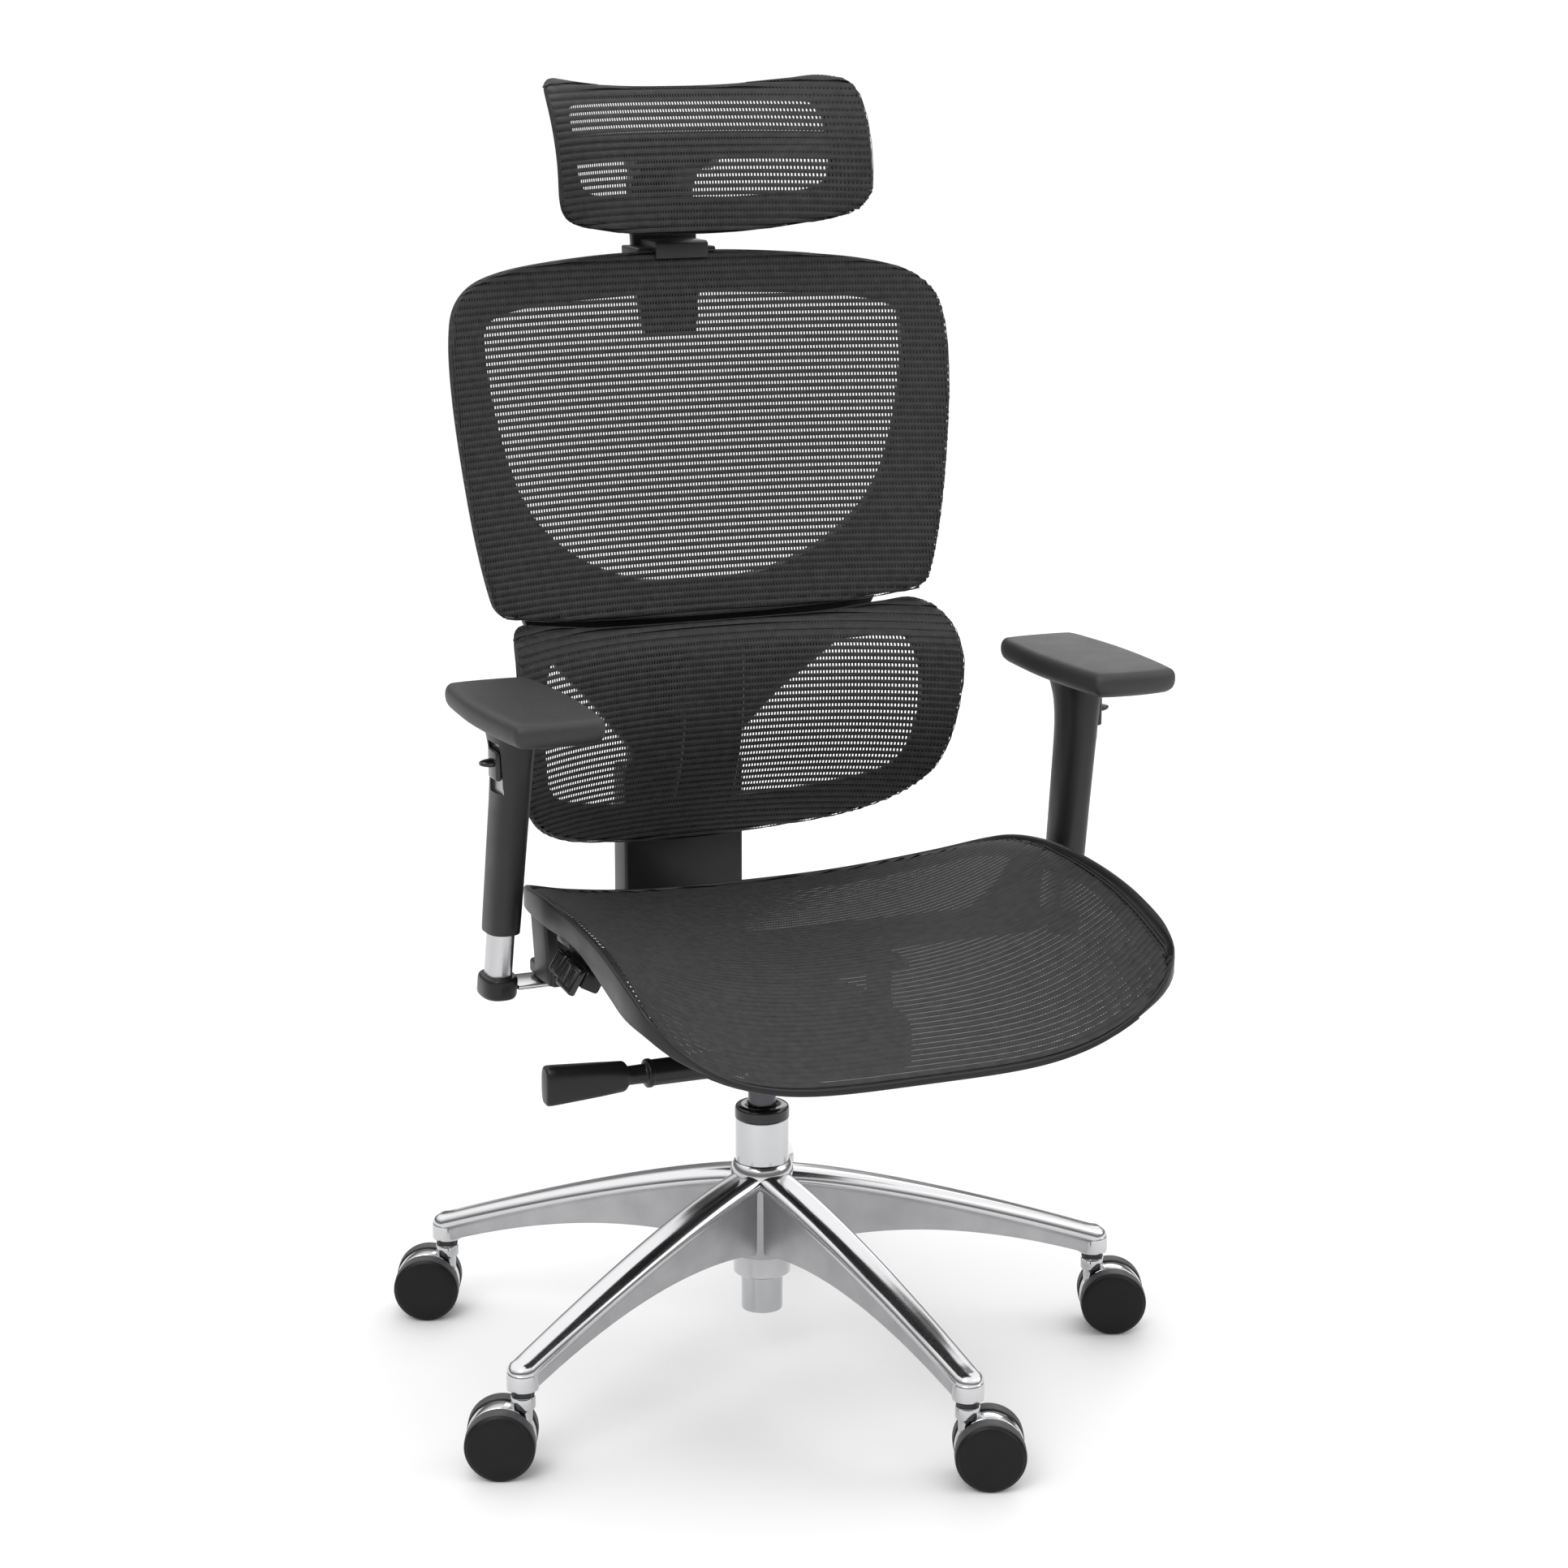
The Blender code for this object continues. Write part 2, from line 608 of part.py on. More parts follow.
def make_mechanism():
    side = [
        (-0.185, 0.326), (-0.168, 0.314), (-0.03, 0.306), (0.03, 0.306), (0.066, 0.314), (0.080, 0.326),
        (0.080, 0.348), (-0.085, 0.3665), (-0.172, 0.3665), (-0.185, 0.358),
    ]
    housing = prism(side, "X", -0.060, 0.060)
    soften(housing, 0.003)
    trunnion = rod(PIVOT_RADIUS, (-0.078, SEAT_AXIS.y, SEAT_AXIS.z), (0.078, SEAT_AXIS.y, SEAT_AXIS.z))
    housing = combine(housing, [trunnion], "UNION")
    bay = box((-0.046, -0.176, 0.322), (0.046, -0.112, 0.40))
    socket = rod(LIFT_RADIUS + GAP, (0, 0, 0.28), (0, 0, 0.40), 24)
    pivot = rod(PIVOT_RADIUS + GAP, (-0.1, TILT_AXIS.y, TILT_AXIS.z), (0.1, TILT_AXIS.y, TILT_AXIS.z))
    handle = rod(
        PIVOT_RADIUS + GAP, (-0.1, HANDLE_AXIS.y, HANDLE_AXIS.z), (-0.050, HANDLE_AXIS.y, HANDLE_AXIS.z)
    )
    housing = combine(housing, [bay, socket, pivot, handle], "DIFFERENCE")
    finish(housing, "mechanism_housing", DARK_STEEL)

    shaft = rod(PIVOT_RADIUS, (-0.077, TILT_AXIS.y, TILT_AXIS.z), (0.077, TILT_AXIS.y, TILT_AXIS.z))
    finish(shaft, "tilt_shaft", STEEL, TILT_AXIS)

    turns, sides, wire, coil = 6, 5, 0.0022, 0.0135
    steps = 10 * turns
    rings = []
    for k in range(steps + 1):
        a = 2 * math.pi * turns * k / steps
        centre = Vector((0.072 * (k / steps - 0.5), -0.144 + coil * math.cos(a), 0.341 + coil * math.sin(a)))
        out = Vector((0, math.cos(a), math.sin(a)))
        along = Vector((1, 0, 0))
        ring = []
        for i in range(sides):
            b = 2 * math.pi * i / sides
            ring.append(centre + wire * (math.cos(b) * out + math.sin(b) * along))
        rings.append(ring)
    finish(loft(rings), "tilt_spring", STEEL)

    plate = box((-0.085, -0.125, 0.3900), (0.085, 0.015, BEAM_BOTTOM - GAP))
    lug = [
        (-0.120, 0.392), (-0.113, 0.352), (-0.106, 0.346), (-0.094, 0.346), (-0.087, 0.352), (-0.080, 0.392),
    ]
    lugs = []
    for sign in (-1, 1):
        low, high = sorted((sign * 0.0625, sign * 0.0715))
        lugs.append(prism(lug, "X", low, high))
    plate = combine(plate, lugs, "UNION")
    bore = rod(PIVOT_RADIUS + GAP, (-0.1, SEAT_AXIS.y, SEAT_AXIS.z), (0.1, SEAT_AXIS.y, SEAT_AXIS.z))
    plate = combine(plate, [bore], "DIFFERENCE")
    finish(plate, "seat_plate", DARK_STEEL, SEAT_AXIS)


def make_tension_handle():
    """A round bar out of the side of the mechanism, with a neck and a flat paddle grip at its end."""
    rings = []
    stations = [
        # x, half height, half thickness
        (-0.052, 0.0060, 0.0060), (-0.0735, 0.0060, 0.0060), (-0.0740, 0.0112, 0.0112),
        (-0.1690, 0.0110, 0.0110), (-0.1695, 0.0122, 0.0122), (-0.1735, 0.0122, 0.0122),
        (-0.1745, 0.0082, 0.0082), (-0.1900, 0.0080, 0.0080), (-0.1930, 0.0130, 0.0095),
        (-0.2150, 0.0140, 0.0100), (-0.2450, 0.0160, 0.0100), (-0.2590, 0.0168, 0.0095),
        (-0.2620, 0.0140, 0.0070),
    ]
    for x, tall, thick in stations:
        ring = []
        for i in range(12):
            a = 2 * math.pi * (i + 0.5) / 12
            ring.append((x, HANDLE_AXIS.y + thick * math.cos(a), HANDLE_AXIS.z + tall * math.sin(a)))
        rings.append(ring)
    finish(loft(rings), "tension_handle", BLACK, HANDLE_AXIS)


# Seat

def make_seat():
    outline = around(SEAT_OUTLINE, 44)
    lip = inset(outline, RIM_WIDTH)
    shoulder = inset(outline, 0.0045)
    foot = inset(outline, 0.0035)
    lip_foot = inset(outline, RIM_WIDTH - 0.003)
    rings = []
    for o, s, i, f, g in zip(outline, shoulder, lip, foot, lip_foot):
        top = seat_z(*o)
        band = rim_depth(*o)
        rings.append(
            [
                (*o, top - 0.0030), (*s, top - 0.0005), (*i, seat_z(*i) - 0.0010), (*i, seat_z(*i) - 0.0055),
                (*g, top - band + 0.0005), (*f, top - band), (*o, top - band + 0.0025),
            ]
        )
    frame = loft(rings, closed=True)
    legs = []
    for sign in (-1, 1):
        leg = [
            (0.2335, 0.4655), (0.2290, 0.3985), (0.150, 0.3985), (0.150, 0.4100), (0.176, 0.4185),
            (0.200, 0.4370), (0.2160, 0.4600),
        ]
        legs.append(prism([(sign * x, z) for x, z in leg], "Y", -0.0860, -0.0500))
    beam = box((-0.2275, -0.0875, BEAM_BOTTOM), (0.2275, -0.0300, BEAM_TOP), 0.002)
    frame = combine(frame, legs + [beam], "UNION")
    finish(frame, "seat_frame", BLACK, SEAT_AXIS)

    edge = inset(outline, RIM_WIDTH + 0.0006)
    bm = bmesh.new()
    centre = (0.0, -0.15)

    def skin(drop):
        rows = []
        for share in (1.0, 0.75, 0.5, 0.25):
            ring = [(share * x, centre[1] + share * (y - centre[1])) for x, y in edge]
            rows.append([bm.verts.new((x, y, seat_z(x, y) - drop)) for x, y in ring])
        middle = bm.verts.new((*centre, seat_z(*centre) - drop))
        for a, b in zip(rows, rows[1:]):
            for i in range(len(a)):
                j = (i + 1) % len(a)
                bm.faces.new((a[i], a[j], b[j], b[i]))
        for i in range(len(rows[-1])):
            bm.faces.new((rows[-1][i], rows[-1][(i + 1) % len(rows[-1])], middle))
        return rows[0]

    top, low = skin(0.0015), skin(0.0045)
    for i in range(len(top)):
        j = (i + 1) % len(top)
        bm.faces.new((top[i], low[i], low[j], top[j]))
    finish(solid(bm), "seat_mesh", FABRIC, SEAT_AXIS)


def make_controls():
    """Two cable paddles in a pod under the rim on the sitter's right, stepping down towards the front."""
    turn = Matrix.Rotation(math.radians(5), 4, "X") @ Matrix.Rotation(math.radians(28), 4, "Y")
    place = Matrix.Translation((-0.221, -0.137, 0.4265)) @ turn
    pod = box((-0.0080, -0.030, -0.0080), (0.0100, 0.025, 0.0080), 0.002)
    pod.data.transform(place)
    bracket = [
        (-0.2225, 0.425), (-0.2225, 0.4505), (-0.236, 0.4505), (-0.236, 0.4565), (-0.214, 0.4565),
        (-0.214, 0.425),
    ]
    pod = combine(pod, [prism(bracket, "Y", -0.155, -0.125)], "UNION")
    finish(pod, "control_pod", BLACK)
    paddles = (("paddle_small", 0.0045, 0.0235, 0.0130), ("paddle_large", -0.0300, 0.0020, 0.0170))
    for name, low, high, tall in paddles:
        paddle = box((-0.0150, low, -tall), (-0.0083, high, 0.0070), 0.002)
        paddle.data.transform(place)
        finish(paddle, name, BLACK, place @ Vector((-0.0083, (low + high) / 2, 0.0070)))


# Arms

def arm_section(sign, z, width, depth, shift=0.0, power=2.6):
    """The outline of an arm's upright at this height, shifted to the rear."""
    x, y, _ = ARM_FOOT + ARM_LEAN * (z - ARM_FOOT.z)
    return [(sign * x + u, y + shift + v, z) for u, v in oval(width, depth, 16, power)]


def make_arm(sign, side):
    foot = [arm_section(sign, z, 0.0300, 0.0435) for z in (ARM_FOOT.z, 0.4075)]
    tube = [arm_section(sign, z, 0.0205, 0.0325) for z in (0.395, 0.560)]
    post = combine(loft(foot), [loft(tube)], "UNION")
    finish(post, f"arm_{side}_post", ALUMINIUM)

    inner, outer = sorted((sign * 0.196, sign * (ARM_FOOT.x - 0.0156)))
    bracket = box((inner, -0.067, 0.3935), (outer, -0.031, BEAM_BOTTOM - GAP), 0.001)
    finish(bracket, f"arm_{side}_bracket", ALUMINIUM)

    stations = [
        # z, width, depth, shift to the rear
        (SLEEVE_LOW, 0.0285, 0.0425, 0), (0.52, 0.0295, 0.0440, 0), (0.575, 0.0305, 0.0465, 0),
        (0.600, 0.0325, 0.0500, 0.0020), (0.615, 0.0360, 0.0560, 0.0050),
        (SLEEVE_HIGH, 0.0420, 0.0660, 0.0085),
    ]
    sleeve = loft([arm_section(sign, *station) for station in stations])
    hollow = loft([arm_section(sign, z, 0.0211, 0.0331) for z in (SLEEVE_LOW - 0.01, 0.603)])
    slot_y = ARM_FOOT.y + ARM_LEAN.y * (0.592 - ARM_FOOT.z) - 0.0030

    def block(near, far, half, low, high, bevel=0.0):
        """A box on the outer side of the post, centred on the slot's middle line."""
        inner, outer = sorted((sign * near, sign * far))
        return box((inner, slot_y - half, low), (outer, slot_y + half, high), bevel)

    slot = block(SLOT_FLOOR, 0.300, 0.0120, SLOT_LOW, SLOT_HIGH)
    sleeve = combine(sleeve, [hollow, slot], "DIFFERENCE")
    finish(sleeve, f"arm_{side}_sleeve", BLACK)

    plate = block(SLOT_FLOOR + 0.0005, 0.2785, 0.0108, 0.5830, 0.6085, 0.001)
    nub = block(0.2780, 0.2890, 0.0060, 0.5935, 0.6005, 0.0015)
    finish(combine(plate, [nub], "UNION"), f"arm_{side}_trigger", BLACK)

    outline = around(PAD_OUTLINE, 28)
    levels = [(PAD_THICK, 0.0080), (0.017, 0.0020), (0.010, 0.0), (0.0035, 0.0008), (0.0, 0.0050)]
    rings = [
        [(sign * PAD_X + x, y, PAD_TOP - deep) for x, y in inset(outline, margin)] for deep, margin in levels
    ]
    finish(loft(rings), f"arm_{side}_pad", SOFT_PU)


# Back

def make_back_post():
    """A fork round the mechanism, a heel, and a broad upright that is a channel above the joint line."""
    profile = [
        (0.092, 0.318), (0.180, 0.318), (0.199, 0.325), (0.210, 0.340), (POST_BACK, 0.360),
        (POST_BACK, POST_TOP),
        (POST_FRONT, POST_TOP), (POST_FRONT, 0.372), (0.178, 0.357), (0.165, 0.3475), (0.092, 0.345),
    ]
    post = prism(profile, "X", -POST_HALF, POST_HALF)
    forks = []
    for sign in (-1, 1):
        fork = [(0.100, 0.318), (0.100, 0.345)]
        for i in range(7):
            a = math.radians(90 + 30 * i)
            fork.append((TILT_AXIS.y + 0.0135 * math.cos(a), TILT_AXIS.z + 0.0135 * math.sin(a)))
        forks.append(prism(fork, "X", *sorted((sign * 0.0610, sign * 0.0715))))
    heel = box((-0.0715, 0.092, 0.318), (0.0715, 0.125, 0.345))
    post = combine(post, forks + [heel], "UNION")
    half, floor = CARRIER_HALF + GAP, POST_FRONT + CARRIER_THICK + GAP
    channel = box((-half, 0.1, POST_SPLIT), (half, floor, 0.6))
    bore = rod(PIVOT_RADIUS + GAP, (-0.1, TILT_AXIS.y, TILT_AXIS.z), (0.1, TILT_AXIS.y, TILT_AXIS.z))
    post = combine(post, [channel, bore], "DIFFERENCE")
    finish(post, "back_post", BLACK, TILT_AXIS)


def yoke_outline():
    """The carrier's outline: smooth where it flares, straight-sided in the channel."""
    flare = spline(YOKE_OUTLINE[:11], 19, False)
    half = [tuple(p) for p in flare] + YOKE_OUTLINE[11:]
    return mirrored(half)


def yoke_back_y(x, z):
    return yoke_y(x, z) + CARRIER_THICK - 0.0075 * ease((z - 0.52) / 0.05)


def make_back():
    carrier = sheet(yoke_outline(), yoke_y, yoke_back_y, (0, 0.61))
    bores = [rod(PIN_RADIUS + GAP, (x, 0.1, PIN_HEIGHT), (x, 0.3, PIN_HEIGHT)) for x in PIN_AT]
    finish(combine(carrier, bores, "DIFFERENCE"), "back_carrier", BLACK)

    outline = around(BACK_OUTLINE, 44)
    frame = sheet(outline, back_y, pushed(back_y, 0.014), (0, 0.83))
    window = prism(around(BACK_WINDOW, 28), "Y", -0.1, 0.5)
    frame = combine(frame, [window], "DIFFERENCE")
    strip = [
        (-0.150, 0.668), (-0.075, 0.6665), (0, 0.666), (0.075, 0.6665), (0.150, 0.668), (0.150, 0.684),
        (0.075, 0.682), (0, 0.6815), (-0.075, 0.682), (-0.150, 0.684),
    ]
    pad = sheet(strip, pushed(back_y, 0.008), pushed(yoke_y, -0.0012), (0, 0.674), (1.0,))
    guide = [(0.1935, 0.944), (0.2290, 0.944), (0.2365, 0.984), (0.1935, 0.984)]
    clip = [
        (0.1812, 0.9795), (0.1838, 0.9795), (0.1838, 0.9866), (0.1895, 0.9866), (0.1895, 0.9805),
        (0.2200, 0.9805), (0.2200, 0.9945), (0.1846, 0.9945), (0.1812, 0.9925),
    ]
    frame = combine(frame, [pad, prism(guide, "X", -0.0375, 0.0375), prism(clip, "X", -0.027, 0.027)], "UNION")
    slot = prism(stalk_side(0.90, 1.02, 0.0004), "X", -STALK_HALF - 0.0004, STALK_HALF + 0.0004)
    frame = combine(frame, [slot], "DIFFERENCE")
    finish(frame, "back_frame", BLACK)
    cloth = sheet(outline, pushed(back_y, -0.0023), pushed(back_y, -GAP), (0, 0.83))
    finish(cloth, "back_mesh", FABRIC)

    outline = around(LUMBAR_OUTLINE, 40)
    frame = sheet(outline, lumbar_y, pushed(lumbar_y, 0.010), (0, 0.56))
    windows = []
    for sign in (-1, 1):
        half = spline(LUMBAR_WINDOW, 20, True)
        windows.append(prism([(sign * x, z) for x, z in half], "Y", -0.1, 0.3))
    frame = combine(frame, windows, "DIFFERENCE")
    stand = box((-0.024, 0.1145, PIN_HEIGHT - 0.024), (0.024, 0.1600, PIN_HEIGHT + 0.024))
    pins = [rod(PIN_RADIUS, (x, 0.155, PIN_HEIGHT), (x, 0.1960, PIN_HEIGHT)) for x in PIN_AT]
    frame = combine(frame, [stand] + pins, "UNION")
    finish(frame, "lumbar_frame", BLACK)
    cloth = sheet(outline, pushed(lumbar_y, -0.0023), pushed(lumbar_y, -GAP), (0, 0.56))
    finish(cloth, "lumbar_mesh", FABRIC)


def stalk_side(low, high, spare):
    """Side view of the headrest's stalk, a straight leaning bar, between two heights: (y, z)."""
    at = [(z, STALK_LOW_Y + STALK_LEAN * (z - STALK_LOW)) for z in (low, high)]
    front = [(y - spare, z) for z, y in at]
    back = [(y + STALK_THICK + spare, z) for z, y in reversed(at)]
    return front + back


def make_headrest():
    """A stalk that slides behind the upper back, and a headrest that nods on its top."""
    stalk = prism(stalk_side(STALK_LOW, 1.040, 0.0), "X", -STALK_HALF, STALK_HALF)
    knuckle = rod(0.0105, (-STALK_HALF, HEAD_AXIS.y, HEAD_AXIS.z), (STALK_HALF, HEAD_AXIS.y, HEAD_AXIS.z), 16)
    web = prism(
        [(0.2310, 1.030), (0.2400, 1.030), (0.2390, 1.048), (0.2180, 1.067), (0.2080, 1.060), (0.2200, 1.046)],
        "X", -STALK_HALF, STALK_HALF,
    )
    stalk = combine(stalk, [web, knuckle], "UNION")
    bore = rod(0.0033, (-0.05, HEAD_AXIS.y, HEAD_AXIS.z), (0.05, HEAD_AXIS.y, HEAD_AXIS.z), 12)
    stalk = combine(stalk, [bore], "DIFFERENCE")
    finish(stalk, "head_stalk", BLACK)

    outline = around(HEAD_OUTLINE, 38)
    frame = sheet(outline, head_y, pushed(head_y, 0.009), (0, 1.065))
    upper = [(-0.117, 1.086), (0.117, 1.086), (0.117, 1.111), (-0.117, 1.111)]
    lower = [
        (-0.100, 1.036), (-0.05, 1.030), (0.05, 1.030), (0.100, 1.036), (0.116, 1.046), (0.118, 1.062),
        (-0.118, 1.062), (-0.116, 1.046),
    ]
    frame = combine(frame, [prism(upper, "Y", -0.1, 0.4), prism(lower, "Y", -0.1, 0.4)], "DIFFERENCE")
    cheeks = []
    for sign in (-1, 1):
        low, high = sorted((sign * 0.0315, sign * 0.0400))
        cheek = [(0.176, 1.066), (0.176, 1.082), (0.195, 1.082)]
        for i in range(7):
            a = math.radians(60 - 30 * i)
            cheek.append((HEAD_AXIS.y + 0.009 * math.cos(a), HEAD_AXIS.z + 0.009 * math.sin(a)))
        cheeks.append(prism(cheek, "X", low, high))
    pin = rod(0.0030, (-0.036, HEAD_AXIS.y, HEAD_AXIS.z), (0.036, HEAD_AXIS.y, HEAD_AXIS.z), 12)
    frame = combine(frame, cheeks + [pin], "UNION")
    finish(frame, "head_frame", BLACK, HEAD_AXIS)
    cloth = sheet(outline, pushed(head_y, -0.0023), pushed(head_y, -GAP), (0, 1.065))
    finish(cloth, "head_mesh", FABRIC, HEAD_AXIS)


ALUMINIUM = material("polished_aluminium", (0.62, 0.62, 0.63), 0.22, 1.0)
CHROME = material("chrome", (0.78, 0.79, 0.80), 0.06, 1.0)
STEEL = material("steel", (0.45, 0.45, 0.46), 0.35, 1.0)
DARK_STEEL = material("painted_steel", (0.045, 0.045, 0.05), 0.45, 0.0)
BLACK = material("black_nylon", (0.022, 0.022, 0.024), 0.48, 0.0)
SOFT_PU = material("soft_pu", (0.030, 0.030, 0.033), 0.55, 0.0)
TYRE = material("castor_tyre", (0.035, 0.035, 0.037), 0.40, 0.0)
FABRIC = material("mesh_fabric", (0.018, 0.018, 0.019), 0.85, 0.0)

CHAIR = empty("chair", AXIS)
make_base()
make_lift()
make_castors()
make_mechanism()
make_tension_handle()
make_seat()
make_controls()
make_arm(1, "left")
make_arm(-1, "right")
make_back_post()
make_back()
make_headrest()
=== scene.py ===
"""The looks of the swivel office chair: woven mesh, moulded frames, a polished base and soft pads.

Metres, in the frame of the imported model. Shapes are measured from the swivel axis, which stands at AXIS.
"""

import json
import math

import bmesh
import bpy
import numpy as np
from mathutils import Matrix, Vector

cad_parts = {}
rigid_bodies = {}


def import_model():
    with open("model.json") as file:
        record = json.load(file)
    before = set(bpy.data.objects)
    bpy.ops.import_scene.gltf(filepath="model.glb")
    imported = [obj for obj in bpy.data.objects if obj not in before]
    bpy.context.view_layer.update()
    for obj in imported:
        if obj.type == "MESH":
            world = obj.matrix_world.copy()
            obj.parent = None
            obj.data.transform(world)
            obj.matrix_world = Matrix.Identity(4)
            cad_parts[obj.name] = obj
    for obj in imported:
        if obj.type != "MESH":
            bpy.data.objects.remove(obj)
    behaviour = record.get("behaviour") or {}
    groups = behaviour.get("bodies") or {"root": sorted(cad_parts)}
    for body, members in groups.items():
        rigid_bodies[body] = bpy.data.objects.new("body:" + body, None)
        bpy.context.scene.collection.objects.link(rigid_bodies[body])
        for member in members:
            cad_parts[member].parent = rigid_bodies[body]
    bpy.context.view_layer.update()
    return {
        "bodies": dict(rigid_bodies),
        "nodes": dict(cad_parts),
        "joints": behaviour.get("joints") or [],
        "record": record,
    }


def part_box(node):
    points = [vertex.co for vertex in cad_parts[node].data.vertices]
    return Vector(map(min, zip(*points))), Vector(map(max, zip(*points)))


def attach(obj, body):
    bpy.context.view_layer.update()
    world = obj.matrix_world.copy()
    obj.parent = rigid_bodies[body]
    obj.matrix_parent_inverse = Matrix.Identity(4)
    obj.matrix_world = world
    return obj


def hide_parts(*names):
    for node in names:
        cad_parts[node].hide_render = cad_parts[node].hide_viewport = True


for old in list(bpy.data.objects):
    bpy.data.objects.remove(old)
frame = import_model()

low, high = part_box("lift_cylinder")
AXIS = Vector(((low.x + high.x) / 2, (low.y + high.y) / 2, 0))

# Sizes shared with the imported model
GAP = 0.0003
BASE_RADIUS = 0.315
BASE_TURN = math.radians(-26.3)
STAR_ANGLES = [BASE_TURN + math.radians(36 + 72 * i) for i in range(5)]
STAR_ROOT, RIDGE_TOP, RIDGE_DROP = 0.012, 0.184, 0.086
CASTOR_TRAIL, WHEEL_RADIUS = 0.0185, 0.03
CASTOR_HEADING = math.radians(-23)
TILT_AXIS = Vector((0, 0.045, 0.332))
SEAT_AXIS = Vector((0, -0.1, 0.357))
HANDLE_AXIS = Vector((0, -0.163, 0.34))
HEAD_AXIS = Vector((0, 0.212, 1.06))
SEAT_REAR, SEAT_FRONT, SEAT_HALF = 0.062, -0.339, 0.241
RIM_WIDTH, LIP_WIDTH = 0.013, 0.006
BEAM_BOTTOM, BEAM_TOP = 0.398, 0.411
POST_FRONT, POST_BACK, POST_HALF, POST_SPLIT, POST_TOP = 0.183, 0.213, 0.0585, 0.445, 0.515
CARRIER_HALF, CARRIER_THICK = 0.05, 0.0195
ARM_FOOT = Vector((0.265, -0.0544, 0.388))  # the bottom of the left arm post's axis
ARM_LEAN = Vector((-0.022, -0.173, 1.0))  # the axis, per metre of height
SLEEVE_LOW, SLEEVE_HIGH = 0.451, 0.6292
SLOT_LOW, SLOT_HIGH, SLOT_FLOOR = 0.5715, 0.614, 0.2727
SLOT_Y = ARM_FOOT.y + ARM_LEAN.y * (0.592 - ARM_FOOT.z) - 0.003
PAD_TOP, PAD_X = 0.652, 0.257
PIN_HEIGHT, PIN_RADIUS, PIN_AT = 0.59, 0.005, (-0.014, 0.014)
STALK_LEAN, STALK_HALF, STALK_THICK, STALK_LOW, STALK_LOW_Y = 0.17, 0.031, 0.009, 0.905, 0.209

# The weave: pitch, width and depth of its strands. The seat's cloth is nearly closed.
RIB, THREAD = (0.00615, 0.0037, 0.001), (0.0027, 0.0016, 0.0006)
SEAT_RIB, SEAT_THREAD = (0.006, 0.0058, 0.0012), (0.0024, 0.0011, 0.0006)
CLOTH_PROUD = 0.0013  # the middle of the cloth in front of its frame
SEAT_CLOTH_SUNK = 0.0016  # the seat's cloth under the top of its lip

# Half outlines, from the middle of the top to the middle of the bottom: (x, z)
BACK_OUTLINE = [
    (0, 0.981), (0.06, 0.98), (0.12, 0.976), (0.172, 0.97), (0.207, 0.96), (0.227, 0.942), (0.234, 0.915),
    (0.235, 0.875), (0.231, 0.82), (0.222, 0.75), (0.211, 0.698), (0.203, 0.681), (0.185, 0.674),
    (0.12, 0.6655), (0, 0.661),
]
BACK_WINDOW = [
    (0, 0.944), (0.105, 0.941), (0.165, 0.936), (0.192, 0.928), (0.199, 0.911), (0.195, 0.863),
    (0.182, 0.805), (0.163, 0.763), (0.135, 0.733), (0.1, 0.711), (0.055, 0.696), (0, 0.692),
]
LUMBAR_OUTLINE = [
    (0, 0.6565), (0.1, 0.6593), (0.16, 0.6672), (0.19, 0.6706), (0.205, 0.658), (0.211, 0.622),
    (0.208, 0.58), (0.2, 0.53), (0.186, 0.502), (0.16, 0.479), (0.12, 0.462), (0.06, 0.4515), (0, 0.448),
]
LUMBAR_WINDOW = [
    (0, 0.632), (0.1, 0.636), (0.155, 0.641), (0.172, 0.636), (0.18, 0.6), (0.177, 0.56), (0.168, 0.527),
    (0.145, 0.51), (0.09, 0.496), (0.036, 0.491), (0, 0.49),
]
HEAD_OUTLINE = [
    (0, 1.124), (0.05, 1.125), (0.098, 1.13), (0.125, 1.134), (0.14, 1.13), (0.146, 1.117), (0.146, 1.06),
    (0.145, 1.035), (0.138, 1.021), (0.122, 1.012), (0.09, 1.005), (0.05, 0.9995), (0, 0.998),
]
HEAD_WINDOW = [
    (0, 1.111), (0.06, 1.111), (0.108, 1.111), (0.117, 1.104), (0.118, 1.085), (0.118, 1.062),
    (0.115, 1.046), (0.1, 1.036), (0.05, 1.03), (0, 1.03),
]
YOKE_HALF = [  # height, half width
    (0.4453, 0.05), (0.518, 0.05), (0.533, 0.053), (0.548, 0.066), (0.578, 0.092), (0.61, 0.125),
    (0.65, 0.16), (0.668, 0.17), (0.68, 0.1695), (0.686, 0.16),
]
# Half plan of the seat, from the middle of the rear to the middle of the front: (x, y)
SEAT_OUTLINE = [
    (0, SEAT_REAR), (0.07, 0.057), (0.14, 0.04), (0.19, 0.015), (0.219, -0.008), (0.233, -0.036),
    (0.239, -0.09), (SEAT_HALF, -0.17), (SEAT_HALF, -0.25), (0.239, -0.297), (0.23, -0.323),
    (0.202, -0.335), (0.13, -0.3385), (0, SEAT_FRONT),
]
PAD_OUTLINE = [
    (0, -0.013), (0.026, -0.0145), (0.037, -0.021), (0.0415, -0.05), (0.0445, -0.095), (0.0435, -0.145),
    (0.0395, -0.19), (0.033, -0.2035), (0, -0.208),
]


# Outlines

def spline(points, count, closed):
    """count points along a Catmull-Rom curve through the given ones."""
    p = np.array(points, float)
    n = len(p)
    spans = n if closed else n - 1
    t = np.arange(count) * spans / (count if closed else count - 1)
    i = np.minimum(t.astype(int), spans - 1)
    f = (t - i)[:, None]
    if closed:
        a, b, c, d = (p[(i + j) % n] for j in (-1, 0, 1, 2))
    else:
        a, b, c, d = (p[np.clip(i + j, 0, n - 1)] for j in (-1, 0, 1, 2))
    return 0.5 * (2 * b + (c - a) * f + (2 * a - 5 * b + 4 * c - d) * f**2 + (3 * b - a - 3 * c + d) * f**3)


